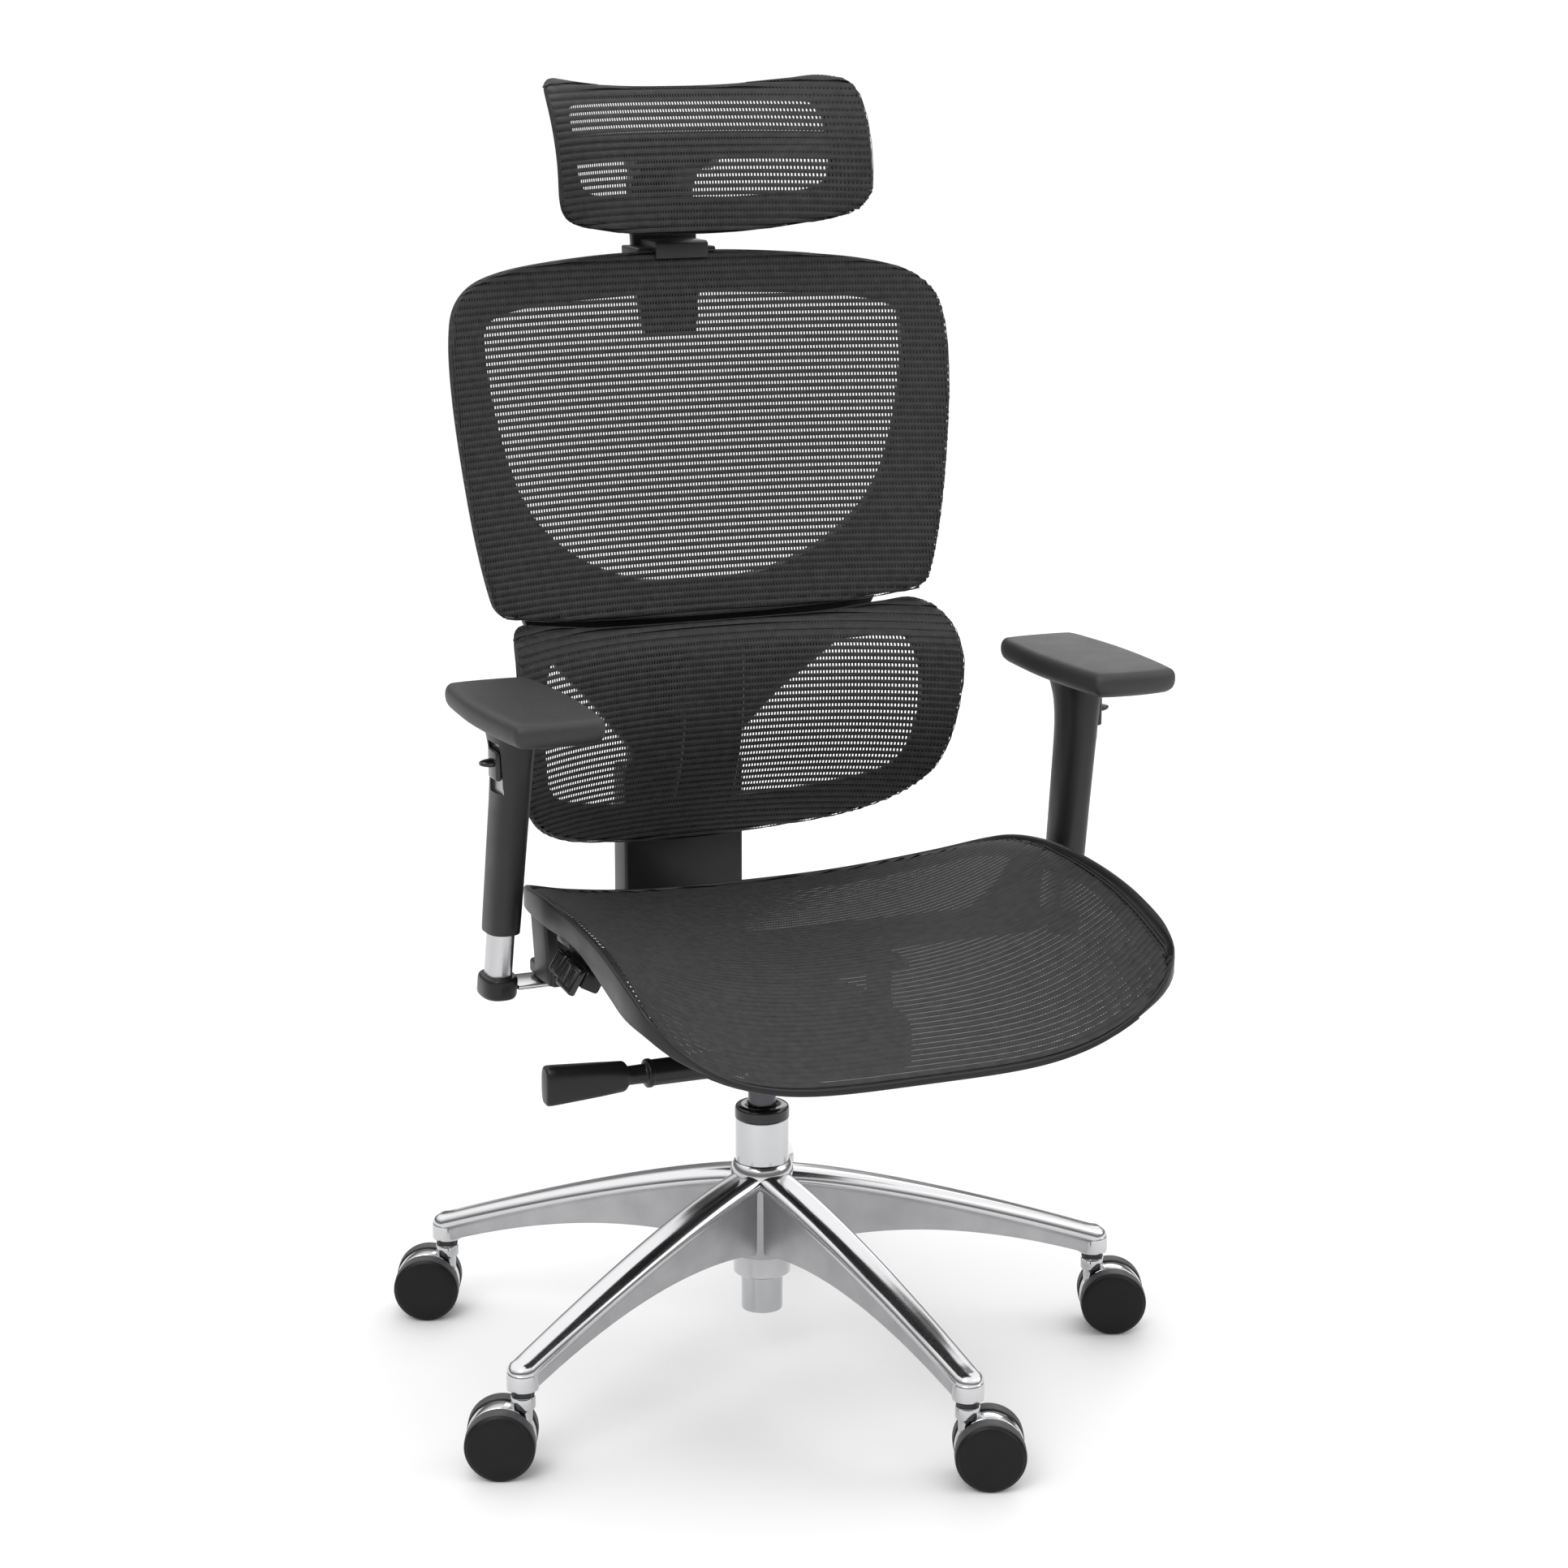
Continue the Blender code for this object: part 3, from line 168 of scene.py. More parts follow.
def around(half, count):
    """count points, evenly spaced, on the closed smooth outline with this half."""
    whole = list(half) + [(-x, v) for x, v in reversed(half) if x > 1e-9]
    fine = spline(whole, 12 * count, True)
    steps = np.linalg.norm(np.roll(fine, -1, 0) - fine, axis=1)
    along = np.concatenate([[0], np.cumsum(steps)])
    fine = np.vstack([fine, fine[:1]])
    at = np.arange(count) * along[-1] / count
    return np.stack([np.interp(at, along, fine[:, 0]), np.interp(at, along, fine[:, 1])], 1)


def outward(outline):
    """The outward normal at each point of a closed outline."""
    along = np.roll(outline, -1, 0) - np.roll(outline, 1, 0)
    normal = np.stack([along[:, 1], -along[:, 0]], 1) / np.linalg.norm(along, axis=1)[:, None]
    return normal * np.sign(signed_area(outline))


def signed_area(outline):
    following = np.roll(outline, -1, 0)
    return 0.5 * (outline[:, 0] * following[:, 1] - following[:, 0] * outline[:, 1]).sum()


def inset(outline, distance):
    return outline - outward(outline) * distance


def facing(outline, window_half, centre):
    """For each point of the outline, the point of the window in the same direction from the centre."""
    window = around(window_half, 600) - centre
    angles = np.arctan2(window[:, 1], window[:, 0])
    order = np.argsort(angles)
    wanted = np.arctan2(*(outline - centre).T[::-1])
    found = [np.interp(wanted, angles[order], window[order, k], period=2 * math.pi) for k in (0, 1)]
    return np.stack(found, 1) + centre


def ease(t):
    t = np.clip(t, 0, 1)
    return t * t * (3 - 2 * t)


def smooth(x, at, values):
    """A smooth curve through the values."""
    at, values = np.array(at), np.array(values)
    slopes = np.gradient(values, at)
    x = np.clip(x, at[0], at[-1])
    i = np.clip(np.searchsorted(at, x) - 1, 0, len(at) - 2)
    h = at[i + 1] - at[i]
    t = (x - at[i]) / h
    rise = values[i] * (1 - ease(t)) + values[i + 1] * ease(t)
    return rise + h * t * (1 - t) * (slopes[i] * (1 - t) - slopes[i + 1] * t)


# Surfaces

def back_y(x, z):
    return 0.136 + 0.17 * (z - 0.68) - 0.05 * (abs(x) / 0.234) ** 2.4


def lumbar_y(x, z):
    t = z - 0.595
    bulge = np.where(t < 0, 0.058 * (t / 0.145) ** 2, 0.024 * (t / 0.067) ** 4)
    return 0.106 + bulge - 0.075 * (abs(x) / 0.21) ** 2.4


def head_y(x, z):
    t = np.maximum(z - 1.0, 0) / 0.128
    return 0.16 + 0.055 * t**2.6 - (0.065 + 0.02 * t) * (abs(x) / 0.146) ** 2.5


def yoke_y(x, z):
    rise = ease((z - 0.53) / 0.12)
    return POST_FRONT - 0.021 * rise - 0.025 * rise * (abs(x) / 0.16) ** 2


def seat_z(x, y):
    middle = smooth(
        y,
        [-0.34, -0.31, -0.28, -0.24, -0.18, -0.1, 0, 0.07],
        [0.366, 0.378, 0.39, 0.404, 0.419, 0.427, 0.432, 0.434],
    )
    edge = smooth(
        y,
        [-0.34, -0.32, -0.3, -0.27, -0.24, -0.2, -0.15, -0.1, -0.01, 0.07],
        [0.444, 0.45, 0.457, 0.466, 0.473, 0.479, 0.483, 0.484, 0.479, 0.476],
    )
    power = 2.4 + 1.6 * ease((-0.2 - y) / 0.13)
    return middle + (edge - middle) * (abs(x) / SEAT_HALF) ** power


def rim_depth(x, y):
    """How deep the seat's rim is: thin along the front, deepest on the flanks near the front corners."""
    side = ease((abs(x) - 0.185) / 0.045)
    flank = smooth(
        y,
        [-0.34, -0.31, -0.26, -0.2, -0.15, -0.1, -0.04, 0.0],
        [0.006, 0.022, 0.024, 0.017, 0.013, 0.012, 0.008, 0.003],
    )
    return 0.0085 + 0.0065 * ease((y + 0.2) / 0.1) + side * flank


def upright(surface):
    """Places points (x, z) and their depths behind an upright surface."""
    def lay(points, depth):
        x, z = points[..., 0], points[..., 1]
        return np.stack([x, surface(x, z) + depth, z + 0 * depth], -1)

    return lay


def seat_lay(points, depth):
    """Places points (x, y) and their depths under the top of the seat."""
    x, y = points[..., 0], points[..., 1]
    return np.stack([x, y + 0 * depth, seat_z(x, y) - depth], -1)


# Shapes

def linked(name, data):
    made = bpy.data.objects.new(name, data)
    bpy.context.scene.collection.objects.link(made)
    return made


def shape(bm):
    bmesh.ops.remove_doubles(bm, verts=bm.verts, dist=1e-6)
    bmesh.ops.recalc_face_normals(bm, faces=bm.faces)
    mesh = bpy.data.meshes.new("shape")
    bm.to_mesh(mesh)
    bm.free()
    return linked("shape", mesh)


def loft(rings, closed=False):
    """A skin over rings with the same number of points: capped at its ends, or joined in a loop."""
    bm = bmesh.new()
    rows = [[bm.verts.new(p) for p in ring] for ring in rings]
    count = len(rows[0])
    for a, b in zip(rows, rows[1:] + rows[:1] if closed else rows[1:]):
        for i in range(count):
            bm.faces.new((a[i], a[(i + 1) % count], b[(i + 1) % count], b[i]))
    if not closed:
        bm.faces.new(rows[0])
        bm.faces.new(reversed(rows[-1]))
    return shape(bm)


def turned(profile, segments=64):
    """A solid of revolution about Z from (radius, height) points. A profile off the axis closes on itself."""
    bm = bmesh.new()
    rows = []
    for radius, height in profile:
        if radius == 0:
            rows.append([bm.verts.new((0, 0, height))] * segments)
            continue
        angles = [2 * math.pi * i / segments for i in range(segments)]
        rows.append([bm.verts.new((radius * math.cos(a), radius * math.sin(a), height)) for a in angles])
    loops = profile[0][0] > 0
    for a, b in zip(rows, rows[1:] + rows[:1] if loops else rows[1:]):
        for i in range(segments):
            j = (i + 1) % segments
            corners = list(dict.fromkeys((a[i], a[j], b[j], b[i])))
            if len(corners) > 2:
                bm.faces.new(corners)
    return shape(bm)


def prism(outline, axis, low, high, bevel=0.0, segments=3):
    """An outline in the plane across axis, pushed from low to high along it."""
    place = {
        "X": lambda u, v, w: (w, u, v),
        "Y": lambda u, v, w: (u, w, v),
        "Z": lambda u, v, w: (u, v, w),
    }[axis]
    made = loft([[place(u, v, w) for u, v in outline] for w in (low, high)])
    return soften(made, bevel, segments) if bevel else made


def box(low, high, bevel=0.0, segments=3):
    outline = [(low[0], low[1]), (high[0], low[1]), (high[0], high[1]), (low[0], high[1])]
    return prism(outline, "Z", low[2], high[2], bevel, segments)


def rod(radius, start, end, segments=48, bevel=0.0):
    start, end = Vector(start), Vector(end)
    length = (end - start).length
    if bevel:
        corners = [(radius - bevel, 0), (radius, bevel), (radius, length - bevel), (radius - bevel, length)]
    else:
        corners = [(radius, 0), (radius, length)]
    made = turned([(0, 0), *corners, (0, length)], segments)
    turn = (end - start).to_track_quat("Z", "Y").to_matrix().to_4x4()
    made.data.transform(Matrix.Translation(start) @ turn)
    return made


def arc(centre, radius, start, end, count):
    """Points on an arc between two angles in degrees."""
    angles = np.radians(np.linspace(start, end, count))
    return [(centre[0] + radius * math.cos(a), centre[1] + radius * math.sin(a)) for a in angles]


def twins(outline, near, far, bevel):
    """The same plate, an outline (y, z), on both sides of the chair's middle."""
    return [prism(outline, "X", *sorted((sign * near, sign * far)), bevel, 2) for sign in (-1, 1)]


def cross_rod(radius, half, axis, segments, bevel=0.0):
    """A rod of this half length along X, through a joint's axis."""
    return rod(radius, (-half, axis.y, axis.z), (half, axis.y, axis.z), segments, bevel)


def soften(made, width, segments=3, angle=35):
    """Rounds every sharp edge."""
    bm = bmesh.new()
    bm.from_mesh(made.data)
    sharp = [e for e in bm.edges if e.calc_face_angle(0) > math.radians(angle)]
    bmesh.ops.bevel(bm, geom=sharp, offset=width, segments=segments, profile=0.5, affect="EDGES",
                    clamp_overlap=True)
    bm.to_mesh(made.data)
    bm.free()
    return made


def combine(target, others, operation):
    """The EXACT Boolean of target with each of the others, which are used up."""
    for other in others:
        modifier = target.modifiers.new(operation, "BOOLEAN")
        modifier.operation = operation
        modifier.object = other
    graph = bpy.context.evaluated_depsgraph_get()
    mesh = bpy.data.meshes.new_from_object(target.evaluated_get(graph))
    target.modifiers.clear()
    target.data = mesh
    for other in others:
        bpy.data.objects.remove(other)
    return target


def joined(first, *others):
    """One object from several, each keeping its own closed shell."""
    bm = bmesh.new()
    for made in (first, *others):
        bm.from_mesh(made.data)
    bm.to_mesh(first.data)
    bm.free()
    for made in others:
        bpy.data.objects.remove(made)
    return first


def oval(width, depth, count=48, power=2.4):
    a = 2 * math.pi * (np.arange(count) + 0.5) / count
    c, s = np.cos(a), np.sin(a)
    x = width / 2 * np.copysign(abs(c) ** (2 / power), c)
    y = depth / 2 * np.copysign(abs(s) ** (2 / power), s)
    return np.stack([x, y], 1)


def put(made, name, body, looks, slot, replaces=None, sharp=32):
    """Names a piece, gives it its materials and hangs it on its body."""
    made.name = made.data.name = name
    made.data.transform(Matrix.Translation(AXIS))
    for look in [looks] if isinstance(looks, str) else looks:
        made.data.materials.append(LOOKS[look])
    made.data.shade_smooth()
    made.data.set_sharp_from_angle(angle=math.radians(sharp))
    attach(made, body)
    if replaces:
        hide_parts(replaces)


def tint(made, index, wanted):
    """Gives the faces whose middle and normal satisfy wanted the material at this index."""
    for face in made.data.polygons:
        if wanted(face.center, face.normal):
            face.material_index = index


# Materials

def node(made, kind, **values):
    new = made.node_tree.nodes.new(kind)
    for key, value in values.items():
        if key in new.inputs:
            new.inputs[key].default_value = value
        else:
            setattr(new, key, value)
    return new


def noise(made, scale, detail=4.0, stretch=None):
    """A noise texture on the piece's own coordinates, in cycles per metre."""
    links = made.node_tree.links
    where = node(made, "ShaderNodeTexCoord").outputs["Object"]
    if stretch:
        mapping = node(made, "ShaderNodeMapping", Scale=stretch)
        links.new(where, mapping.inputs["Vector"])
        where = mapping.outputs["Vector"]
    texture = node(made, "ShaderNodeTexNoise", Scale=scale, Detail=detail)
    links.new(where, texture.inputs["Vector"])
    return texture.outputs["Fac"]


def vary(made, socket, source, low, high):
    """Runs a socket of the shader between two values with the source."""
    shader = made.node_tree.nodes["Principled BSDF"]
    spread = node(made, "ShaderNodeMapRange")
    for key, value in (("From Min", 0.3), ("From Max", 0.7), ("To Min", low), ("To Max", high)):
        spread.inputs[key].default_value = value
    made.node_tree.links.new(source, spread.inputs["Value"])
    made.node_tree.links.new(spread.outputs["Result"], shader.inputs[socket])


def tone(made, source, dark, light):
    """Runs the base colour between two tones with the source."""
    shader = made.node_tree.nodes["Principled BSDF"]
    ramp = node(made, "ShaderNodeValToRGB")
    ramp.color_ramp.elements[0].position = 0.3
    ramp.color_ramp.elements[0].color = (*dark, 1.0)
    ramp.color_ramp.elements[1].position = 0.7
    ramp.color_ramp.elements[1].color = (*light, 1.0)
    made.node_tree.links.new(source, ramp.inputs["Fac"])
    made.node_tree.links.new(ramp.outputs["Color"], shader.inputs["Base Color"])


def bump(made, source, height, strength=1.0):
    """Raises the surface by up to height, in metres."""
    shader = made.node_tree.nodes["Principled BSDF"]
    raised = node(made, "ShaderNodeBump", Strength=strength, Distance=height)
    made.node_tree.links.new(source, raised.inputs["Height"])
    made.node_tree.links.new(raised.outputs["Normal"], shader.inputs["Normal"])


def finish(name, colour, roughness, metallic=0.0, level=0.5, tones=None, sheen=None, grain=None):
    """A material whose colour runs over tones (noise, dark, light), its roughness over sheen (noise, low,
    high) and its height over grain (noise, metres, strength). Each noise is (scale, detail, stretch)."""
    made = bpy.data.materials.new(name)
    made.use_nodes = True
    made.diffuse_color = (*colour, 1.0)
    sockets = made.node_tree.nodes["Principled BSDF"].inputs
    sockets["Base Color"].default_value = (*colour, 1.0)
    sockets["Roughness"].default_value = roughness
    sockets["Metallic"].default_value = metallic
    sockets["Specular IOR Level"].default_value = level
    if tones:
        tone(made, noise(made, *tones[0]), *tones[1:])
    if sheen:
        vary(made, "Roughness", noise(made, *sheen[0]), *sheen[1:])
    if grain:
        bump(made, noise(made, *grain[0]), *grain[1:])
    return made


LOOKS = {
    "yarn": finish(
        "yarn", (0.018, 0.018, 0.019), 0.6, level=0.35,
        tones=((130, 3.0), (0.012, 0.012, 0.0127), (0.024, 0.024, 0.0253)),
        grain=((1400, 2.0, (0.25, 1.0, 1.0)), 0.0002),
    ),
    "nylon": finish(
        "moulded_nylon", (0.01, 0.01, 0.011), 0.42, level=0.38,
        tones=((9,), (0.008, 0.008, 0.0088), (0.012, 0.012, 0.013)),
        sheen=((26,), 0.36, 0.48), grain=((1500, 3.0), 0.0001, 0.5),
    ),
    "satin": finish(
        "satin_nylon", (0.008, 0.008, 0.0088), 0.32, level=0.3,
        tones=((12,), (0.007, 0.007, 0.0077), (0.009, 0.009, 0.0099)),
        sheen=((30,), 0.29, 0.35), grain=((1100, 3.0), 0.00005, 0.4),
    ),
    "gloss": finish(
        "gloss_black", (0.006, 0.006, 0.0066), 0.12,
        sheen=((40,), 0.08, 0.17), grain=((300, 2.0), 0.00003, 0.3),
    ),
    "pu": finish(
        "soft_pu", (0.016, 0.016, 0.0175), 0.5,
        tones=((14,), (0.015, 0.015, 0.0163), (0.018, 0.018, 0.0196)),
        sheen=((50,), 0.5, 0.55), grain=((1900, 4.0), 0.0002, 0.7),
    ),
    "aluminium": finish(
        "polished_aluminium", (0.56, 0.56, 0.57), 0.13, 1.0,
        sheen=((16,), 0.13, 0.2),
    ),
    "cast": finish(
        "cast_grey", (0.44, 0.44, 0.45), 0.45, 1.0,
        tones=((35,), (0.4, 0.4, 0.41), (0.48, 0.48, 0.49)), grain=((700, 3.0), 0.0001, 0.4),
    ),
    "tube": finish(
        "brushed_tube", (0.5, 0.5, 0.51), 0.27, 1.0,
        sheen=((22,), 0.22, 0.33), grain=((500, 3.0, (1.0, 1.0, 0.03)), 0.00008, 0.5),
    ),
    "chrome": finish(
        "chrome", (0.5, 0.505, 0.515), 0.05, 1.0,
        sheen=((18,), 0.03, 0.085),
    ),
    "steel": finish(
        "plain_steel", (0.42, 0.42, 0.43), 0.33, 1.0,
        tones=((60,), (0.36, 0.36, 0.37), (0.47, 0.47, 0.48)), sheen=((120,), 0.27, 0.42),
    ),
    "paint": finish(
        "painted_steel", (0.016, 0.016, 0.018), 0.4, level=0.4,
        tones=((22,), (0.013, 0.013, 0.0145), (0.02, 0.02, 0.022)), grain=((800, 3.0), 0.0002, 0.6),
    ),
    "dark_chrome": finish(
        "dark_chrome", (0.07, 0.07, 0.078), 0.16, 1.0,
        sheen=((25,), 0.12, 0.22),
    ),
    "disc": finish(
        "wheel_disc", (0.007, 0.007, 0.0077), 0.36, level=0.2,
        tones=((40,), (0.006, 0.006, 0.0066), (0.008, 0.008, 0.0088)),
        sheen=((90,), 0.32, 0.42), grain=((1300, 3.0), 0.00005, 0.4),
    ),
    "tread": finish(
        "wheel_tread", (0.045, 0.045, 0.047), 0.55, level=0.4,
        tones=((70,), (0.036, 0.036, 0.038), (0.055, 0.055, 0.057)), grain=((900, 3.0), 0.00015, 0.6),
    ),
}


# Woven mesh

def nearest(points, outline):
    """Each point's distance to a closed outline, positive inside, with the nearest point and normal."""
    start, end = outline, np.roll(outline, -1, 0)
    normals = outward(outline)
    following = np.roll(normals, -1, 0)
    span = end - start
    offset = points[:, None] - start[None]
    t = np.clip((offset * span).sum(2) / (span * span).sum(1), 0, 1)
    gap = offset - t[..., None] * span
    away = np.linalg.norm(gap, axis=2)
    best = away.argmin(1)
    row = np.arange(len(points))
    share = t[row, best][:, None]
    normal = normals[best] * (1 - share) + following[best] * share
    normal /= np.linalg.norm(normal, axis=1)[:, None]
    touch = start[best] + share * span[best]
    crosses = (start[None, :, 1] > points[:, None, 1]) != (end[None, :, 1] > points[:, None, 1])
    rise = np.where(span[:, 1] == 0, 1e-12, span[:, 1])
    at = start[None, :, 0] + (points[:, None, 1] - start[None, :, 1]) / rise * span[:, 0]
    inside = (crosses & (points[:, None, 0] < at)).sum(1) % 2 == 1
    return np.where(inside, 1, -1) * away[row, best], touch, normal


def rolled(points, outline, lay, roll, proud):
    """Points of the flat cloth, laid on the surface and rolled back round the outline's edge."""
    distance, touch, normal = nearest(points, outline)
    past = roll - distance
    turn = np.clip(past / roll, 0, math.pi / 2)
    straight = np.maximum(past - roll * math.pi / 2, 0)
    bent = touch + normal * (roll * (np.sin(turn) - 1))[:, None]
    flat = np.where((past > 0)[:, None], bent, points)
    depth = np.where(past > 0, roll * (1 - np.cos(turn)) + straight, 0)
    return lay(flat, depth - proud)


def unit(vectors):
    """The vectors at length 1. One with no length takes the direction of all of them together."""
    lengths = np.linalg.norm(vectors, axis=1)[:, None]
    together = vectors.sum(0) / np.linalg.norm(vectors.sum(0))
    return np.where(lengths > 1e-12, vectors / np.maximum(lengths, 1e-12), together)


def strand(points, normals, width, depth, sides):
    """Corners and faces of a flattened closed strand along the points, with a width at each."""
    along = unit(np.gradient(points, axis=0))
    across = unit(np.cross(normals, along))
    up = np.cross(along, across)
    angles = 2 * math.pi * np.arange(sides) / sides
    rings = (
        points[:, None]
        + across[:, None] * (width[:, None] / 2 * np.cos(angles)[None, :, None])
        + up[:, None] * (depth / 2 * np.sin(angles))[None, :, None]
    )
    count = len(points)
    faces = []
    for i in range(count - 1):
        for k in range(sides):
            m = (k + 1) % sides
            faces.append((i * sides + k, i * sides + m, (i + 1) * sides + m, (i + 1) * sides + k))
    faces.append(tuple(range(sides))[::-1])
    faces.append(tuple((count - 1) * sides + k for k in range(sides)))
    return rings.reshape(-1, 3), faces


def runs(line, outline, reach):
    """The stretches of a sampled straight line that lie inside the outline grown by reach."""
    inside = nearest(line, outline)[0] > -reach
    edges = np.flatnonzero(np.diff(np.concatenate([[0], inside.astype(int), [0]])))
    return [(line[a], line[b - 1]) for a, b in zip(edges[::2], edges[1::2]) if b - a > 2]


def weave(name, body, cad_node, half, lay, roll, tuck, edge=0.0, rib=RIB, thread=THREAD, segment=0.01,
          proud=CLOTH_PROUD):
    """An open cloth of broad ribs across and fine threads up, stretched and tucked round its frame's edge."""
    outline = inset(around(half, 240), edge)
    reach = roll * (math.pi / 2 - 1) + tuck
    cut = inset(outline, -reach)
    low, high = cut.min(0), cut.max(0)
    step = 1e-4
    corners, faces, start = [], [], 0

    def lace(ends, width, depth, sides, spacing):
        nonlocal start
        length = np.linalg.norm(ends[1] - ends[0])
        share = np.linspace(0, 1, max(int(length / spacing), 2) + 1)
        share = share - 0.055 * np.sin(2 * math.pi * share)  # closer together at the rolled ends
        flat = ends[0] + share[:, None] * (ends[1] - ends[0])
        at = rolled(flat, outline, lay, roll, proud)
        right_of = rolled(flat + [step, 0], outline, lay, roll, proud)
        above = rolled(flat + [0, step], outline, lay, roll, proud)
        normals = unit(np.cross(right_of - at, above - at))
        beside = above if ends[0][1] == ends[1][1] else right_of
        stretch = np.linalg.norm(beside - at, axis=1)[:, None] / step
        points, skin = strand(at, normals, width * np.clip(stretch, 1.0, 1.4), depth, sides)
        corners.append(points)
        faces.extend(tuple(start + i for i in face) for face in skin)
        start += len(points)

    samples = np.linspace(0, 1, 260)[:, None]
    for across, (pitch, width, depth), sides, spacing in (1, rib, 6, segment), (0, thread, 4, segment * 1.6):
        for k in range(int((high - low)[across] / pitch)):
            line = low + samples * (high - low)
            line[:, across] = low[across] + (k + 0.5) * pitch
            for ends in runs(line, outline, reach):
                lace(ends, width, depth, sides, spacing)
    mesh = bpy.data.meshes.new(name)
    mesh.from_pydata(np.concatenate(corners).tolist(), [], faces)
    made = linked(name, mesh)
    put(made, name, body, "yarn", "mesh_fabric", cad_node, 60)


def band(outline, window, lay, section):
    """A frame between an outline and its window. Each step of the section is (share, inset, depth): share 0
    is the outline, 1 is the window, and in between lies between them."""
    rings = []
    for share, distance, depth in section:
        outer = inset(outline, distance if share < 1 else 0)
        inner = inset(window, -distance if share == 1 else 0)
        points = inner * share + outer * (1 - share)
        rings.append(lay(points, np.full(len(points), depth)))
    return loft(list(np.stack(rings, 1)), closed=True)


def frame_section(thick, lip, groove):
    """Round the section of a frame: a ledge for the cloth, the front, the window's wall, and a back with a
    shallow channel."""
    return [
        (0, 0.0012, lip - 0.0006), (0, 0.0012, 0.0024), (0, 0.002, 0.0008), (0, 0.0036, 0.0001),
        (0.3, 0.002, 0), (0.5, 0, 0), (0.7, 0, 0), (0.92, 0, 0.0001), (1, 0.0006, 0.0009),
        (1, 0, 0.0024), (1, 0, thick - 0.0034), (1, 0.001, thick - 0.001), (1, 0.0028, thick),
        (0.72, 0, thick), (0.66, 0, thick - groove), (0.36, 0, thick - groove), (0.3, 0, thick),
        (0, 0.0038, thick), (0, 0.0012, thick - 0.0012), (0, 0, thick - 0.003), (0, 0, lip + 0.0004),
        (0, 0.0004, lip),
    ]


def bar(lay, ends, half, thick, across):
    """A rounded bar behind the surface, from end to end: across gives the direction it is wide in."""
    corner = 0.0016
    section = [
        (-half, thick / 2), (-half, corner), (-half + corner, 0), (0, 0), (half - corner, 0),
        (half, corner), (half, thick / 2), (half, thick - corner), (half - corner, thick), (0, thick),
        (-half + corner, thick), (-half, thick - corner),
    ]
    rings = []
    for share in np.linspace(0, 1, 25):
        middle = np.array(ends[0]) * (1 - share) + np.array(ends[1]) * share
        points = np.array([middle + np.array(across) * w for w, _ in section])
        rings.append(lay(points, np.array([d for _, d in section])))
    return loft(rings)


# Base, lift and castors

def star_tip(angle):
    return Vector((BASE_RADIUS * math.sin(angle), -BASE_RADIUS * math.cos(angle), 0))


def ridge(t):
    """The height of a base arm's ridge, from its root at 0 to its tip at 1."""
    return RIDGE_TOP - RIDGE_DROP * t**1.3


def base_arm():
    """One arm along +X: a polished rounded ridge over a grey web, with a rounded nose."""
    brow = [(0, 0), (0.17, 0), (0.3, 0.0008), (0.41, 0.003), (0.475, 0.0062), (0.5, 0.01), (0.485, 0.0125)]
    side = spline(brow, 14, False)
    rings = []
    for t in np.linspace(0, 1, 30):
        reach = STAR_ROOT + (BASE_RADIUS - STAR_ROOT) * t
        top = ridge(t)
        deep = 0.026 + 0.052 * (1 - t) ** 2.2
        wide = 0.036 - 0.0095 * t**1.5
        web = [(0.43, 0.014), (0.405, 0.0165), (0.395, deep - 0.003), (0.37, deep)]
        half = [(wide * u, top - d) for u, d in [*side[1:], *web]]
        ring = [(0, top)] + half + [(-u, v) for u, v in reversed(half)]
        rings.append([(reach, u, v) for u, v in ring])
    tip = np.array(rings[-1])
    nose_height, nose_length = 0.088, 0.0128
    for a in np.radians((18, 36, 54, 70, 83)):
        nose = (tip - (0, 0, nose_height)) * (1, math.cos(a), math.cos(a))
        rings.append((nose + (nose_length * math.sin(a), 0, nose_height)).tolist())
    arm = loft(rings)

    def under_ridge(c, n):
        t = max((c.x - STAR_ROOT) / (BASE_RADIUS - STAR_ROOT), 0)
        return c.z < ridge(t) - 0.0112

    tint(arm, 1, under_ridge)
    return arm


def make_base():
    """A cast star: five arms, a hub and five stem bosses."""
    pieces = []
    for angle in STAR_ANGLES:
        arm = base_arm()
        arm.data.transform(Matrix.Rotation(angle - math.pi / 2, 4, "Z"))
        profile = [
            (0, 0.073), (0.0122, 0.073), (0.0132, 0.0736), (0.0135, 0.075), (0.0135, 0.0868),
            (0.013, 0.0888), (0.0112, 0.0902), (0, 0.0905),
        ]
        boss = turned(profile, 40)
        boss.data.transform(Matrix.Translation(star_tip(angle)))
        pieces += [arm, boss]
    profile = [
        (0.0192, 0.085), (0.0245, 0.085), (0.0255, 0.086), (0.0255, 0.103), (0.0262, 0.1042),
        (0.0275, 0.1045), (0.0285, 0.1062), (0.0285, 0.177), (0.0282, 0.1815), (0.0272, 0.1862),
        (0.0256, 0.1892), (0.0248, 0.19), (0.0242, 0.1895), (0.0242, 0.178),
    ]
    hub = turned(profile, 96)
    tint(hub, 1, lambda c, n: 0.104 < c.z < 0.165)
    star = joined(hub, *pieces)
    put(star, "base_star_cast", "base", ("aluminium", "cast"), "polished_aluminium", "base_star", 40)


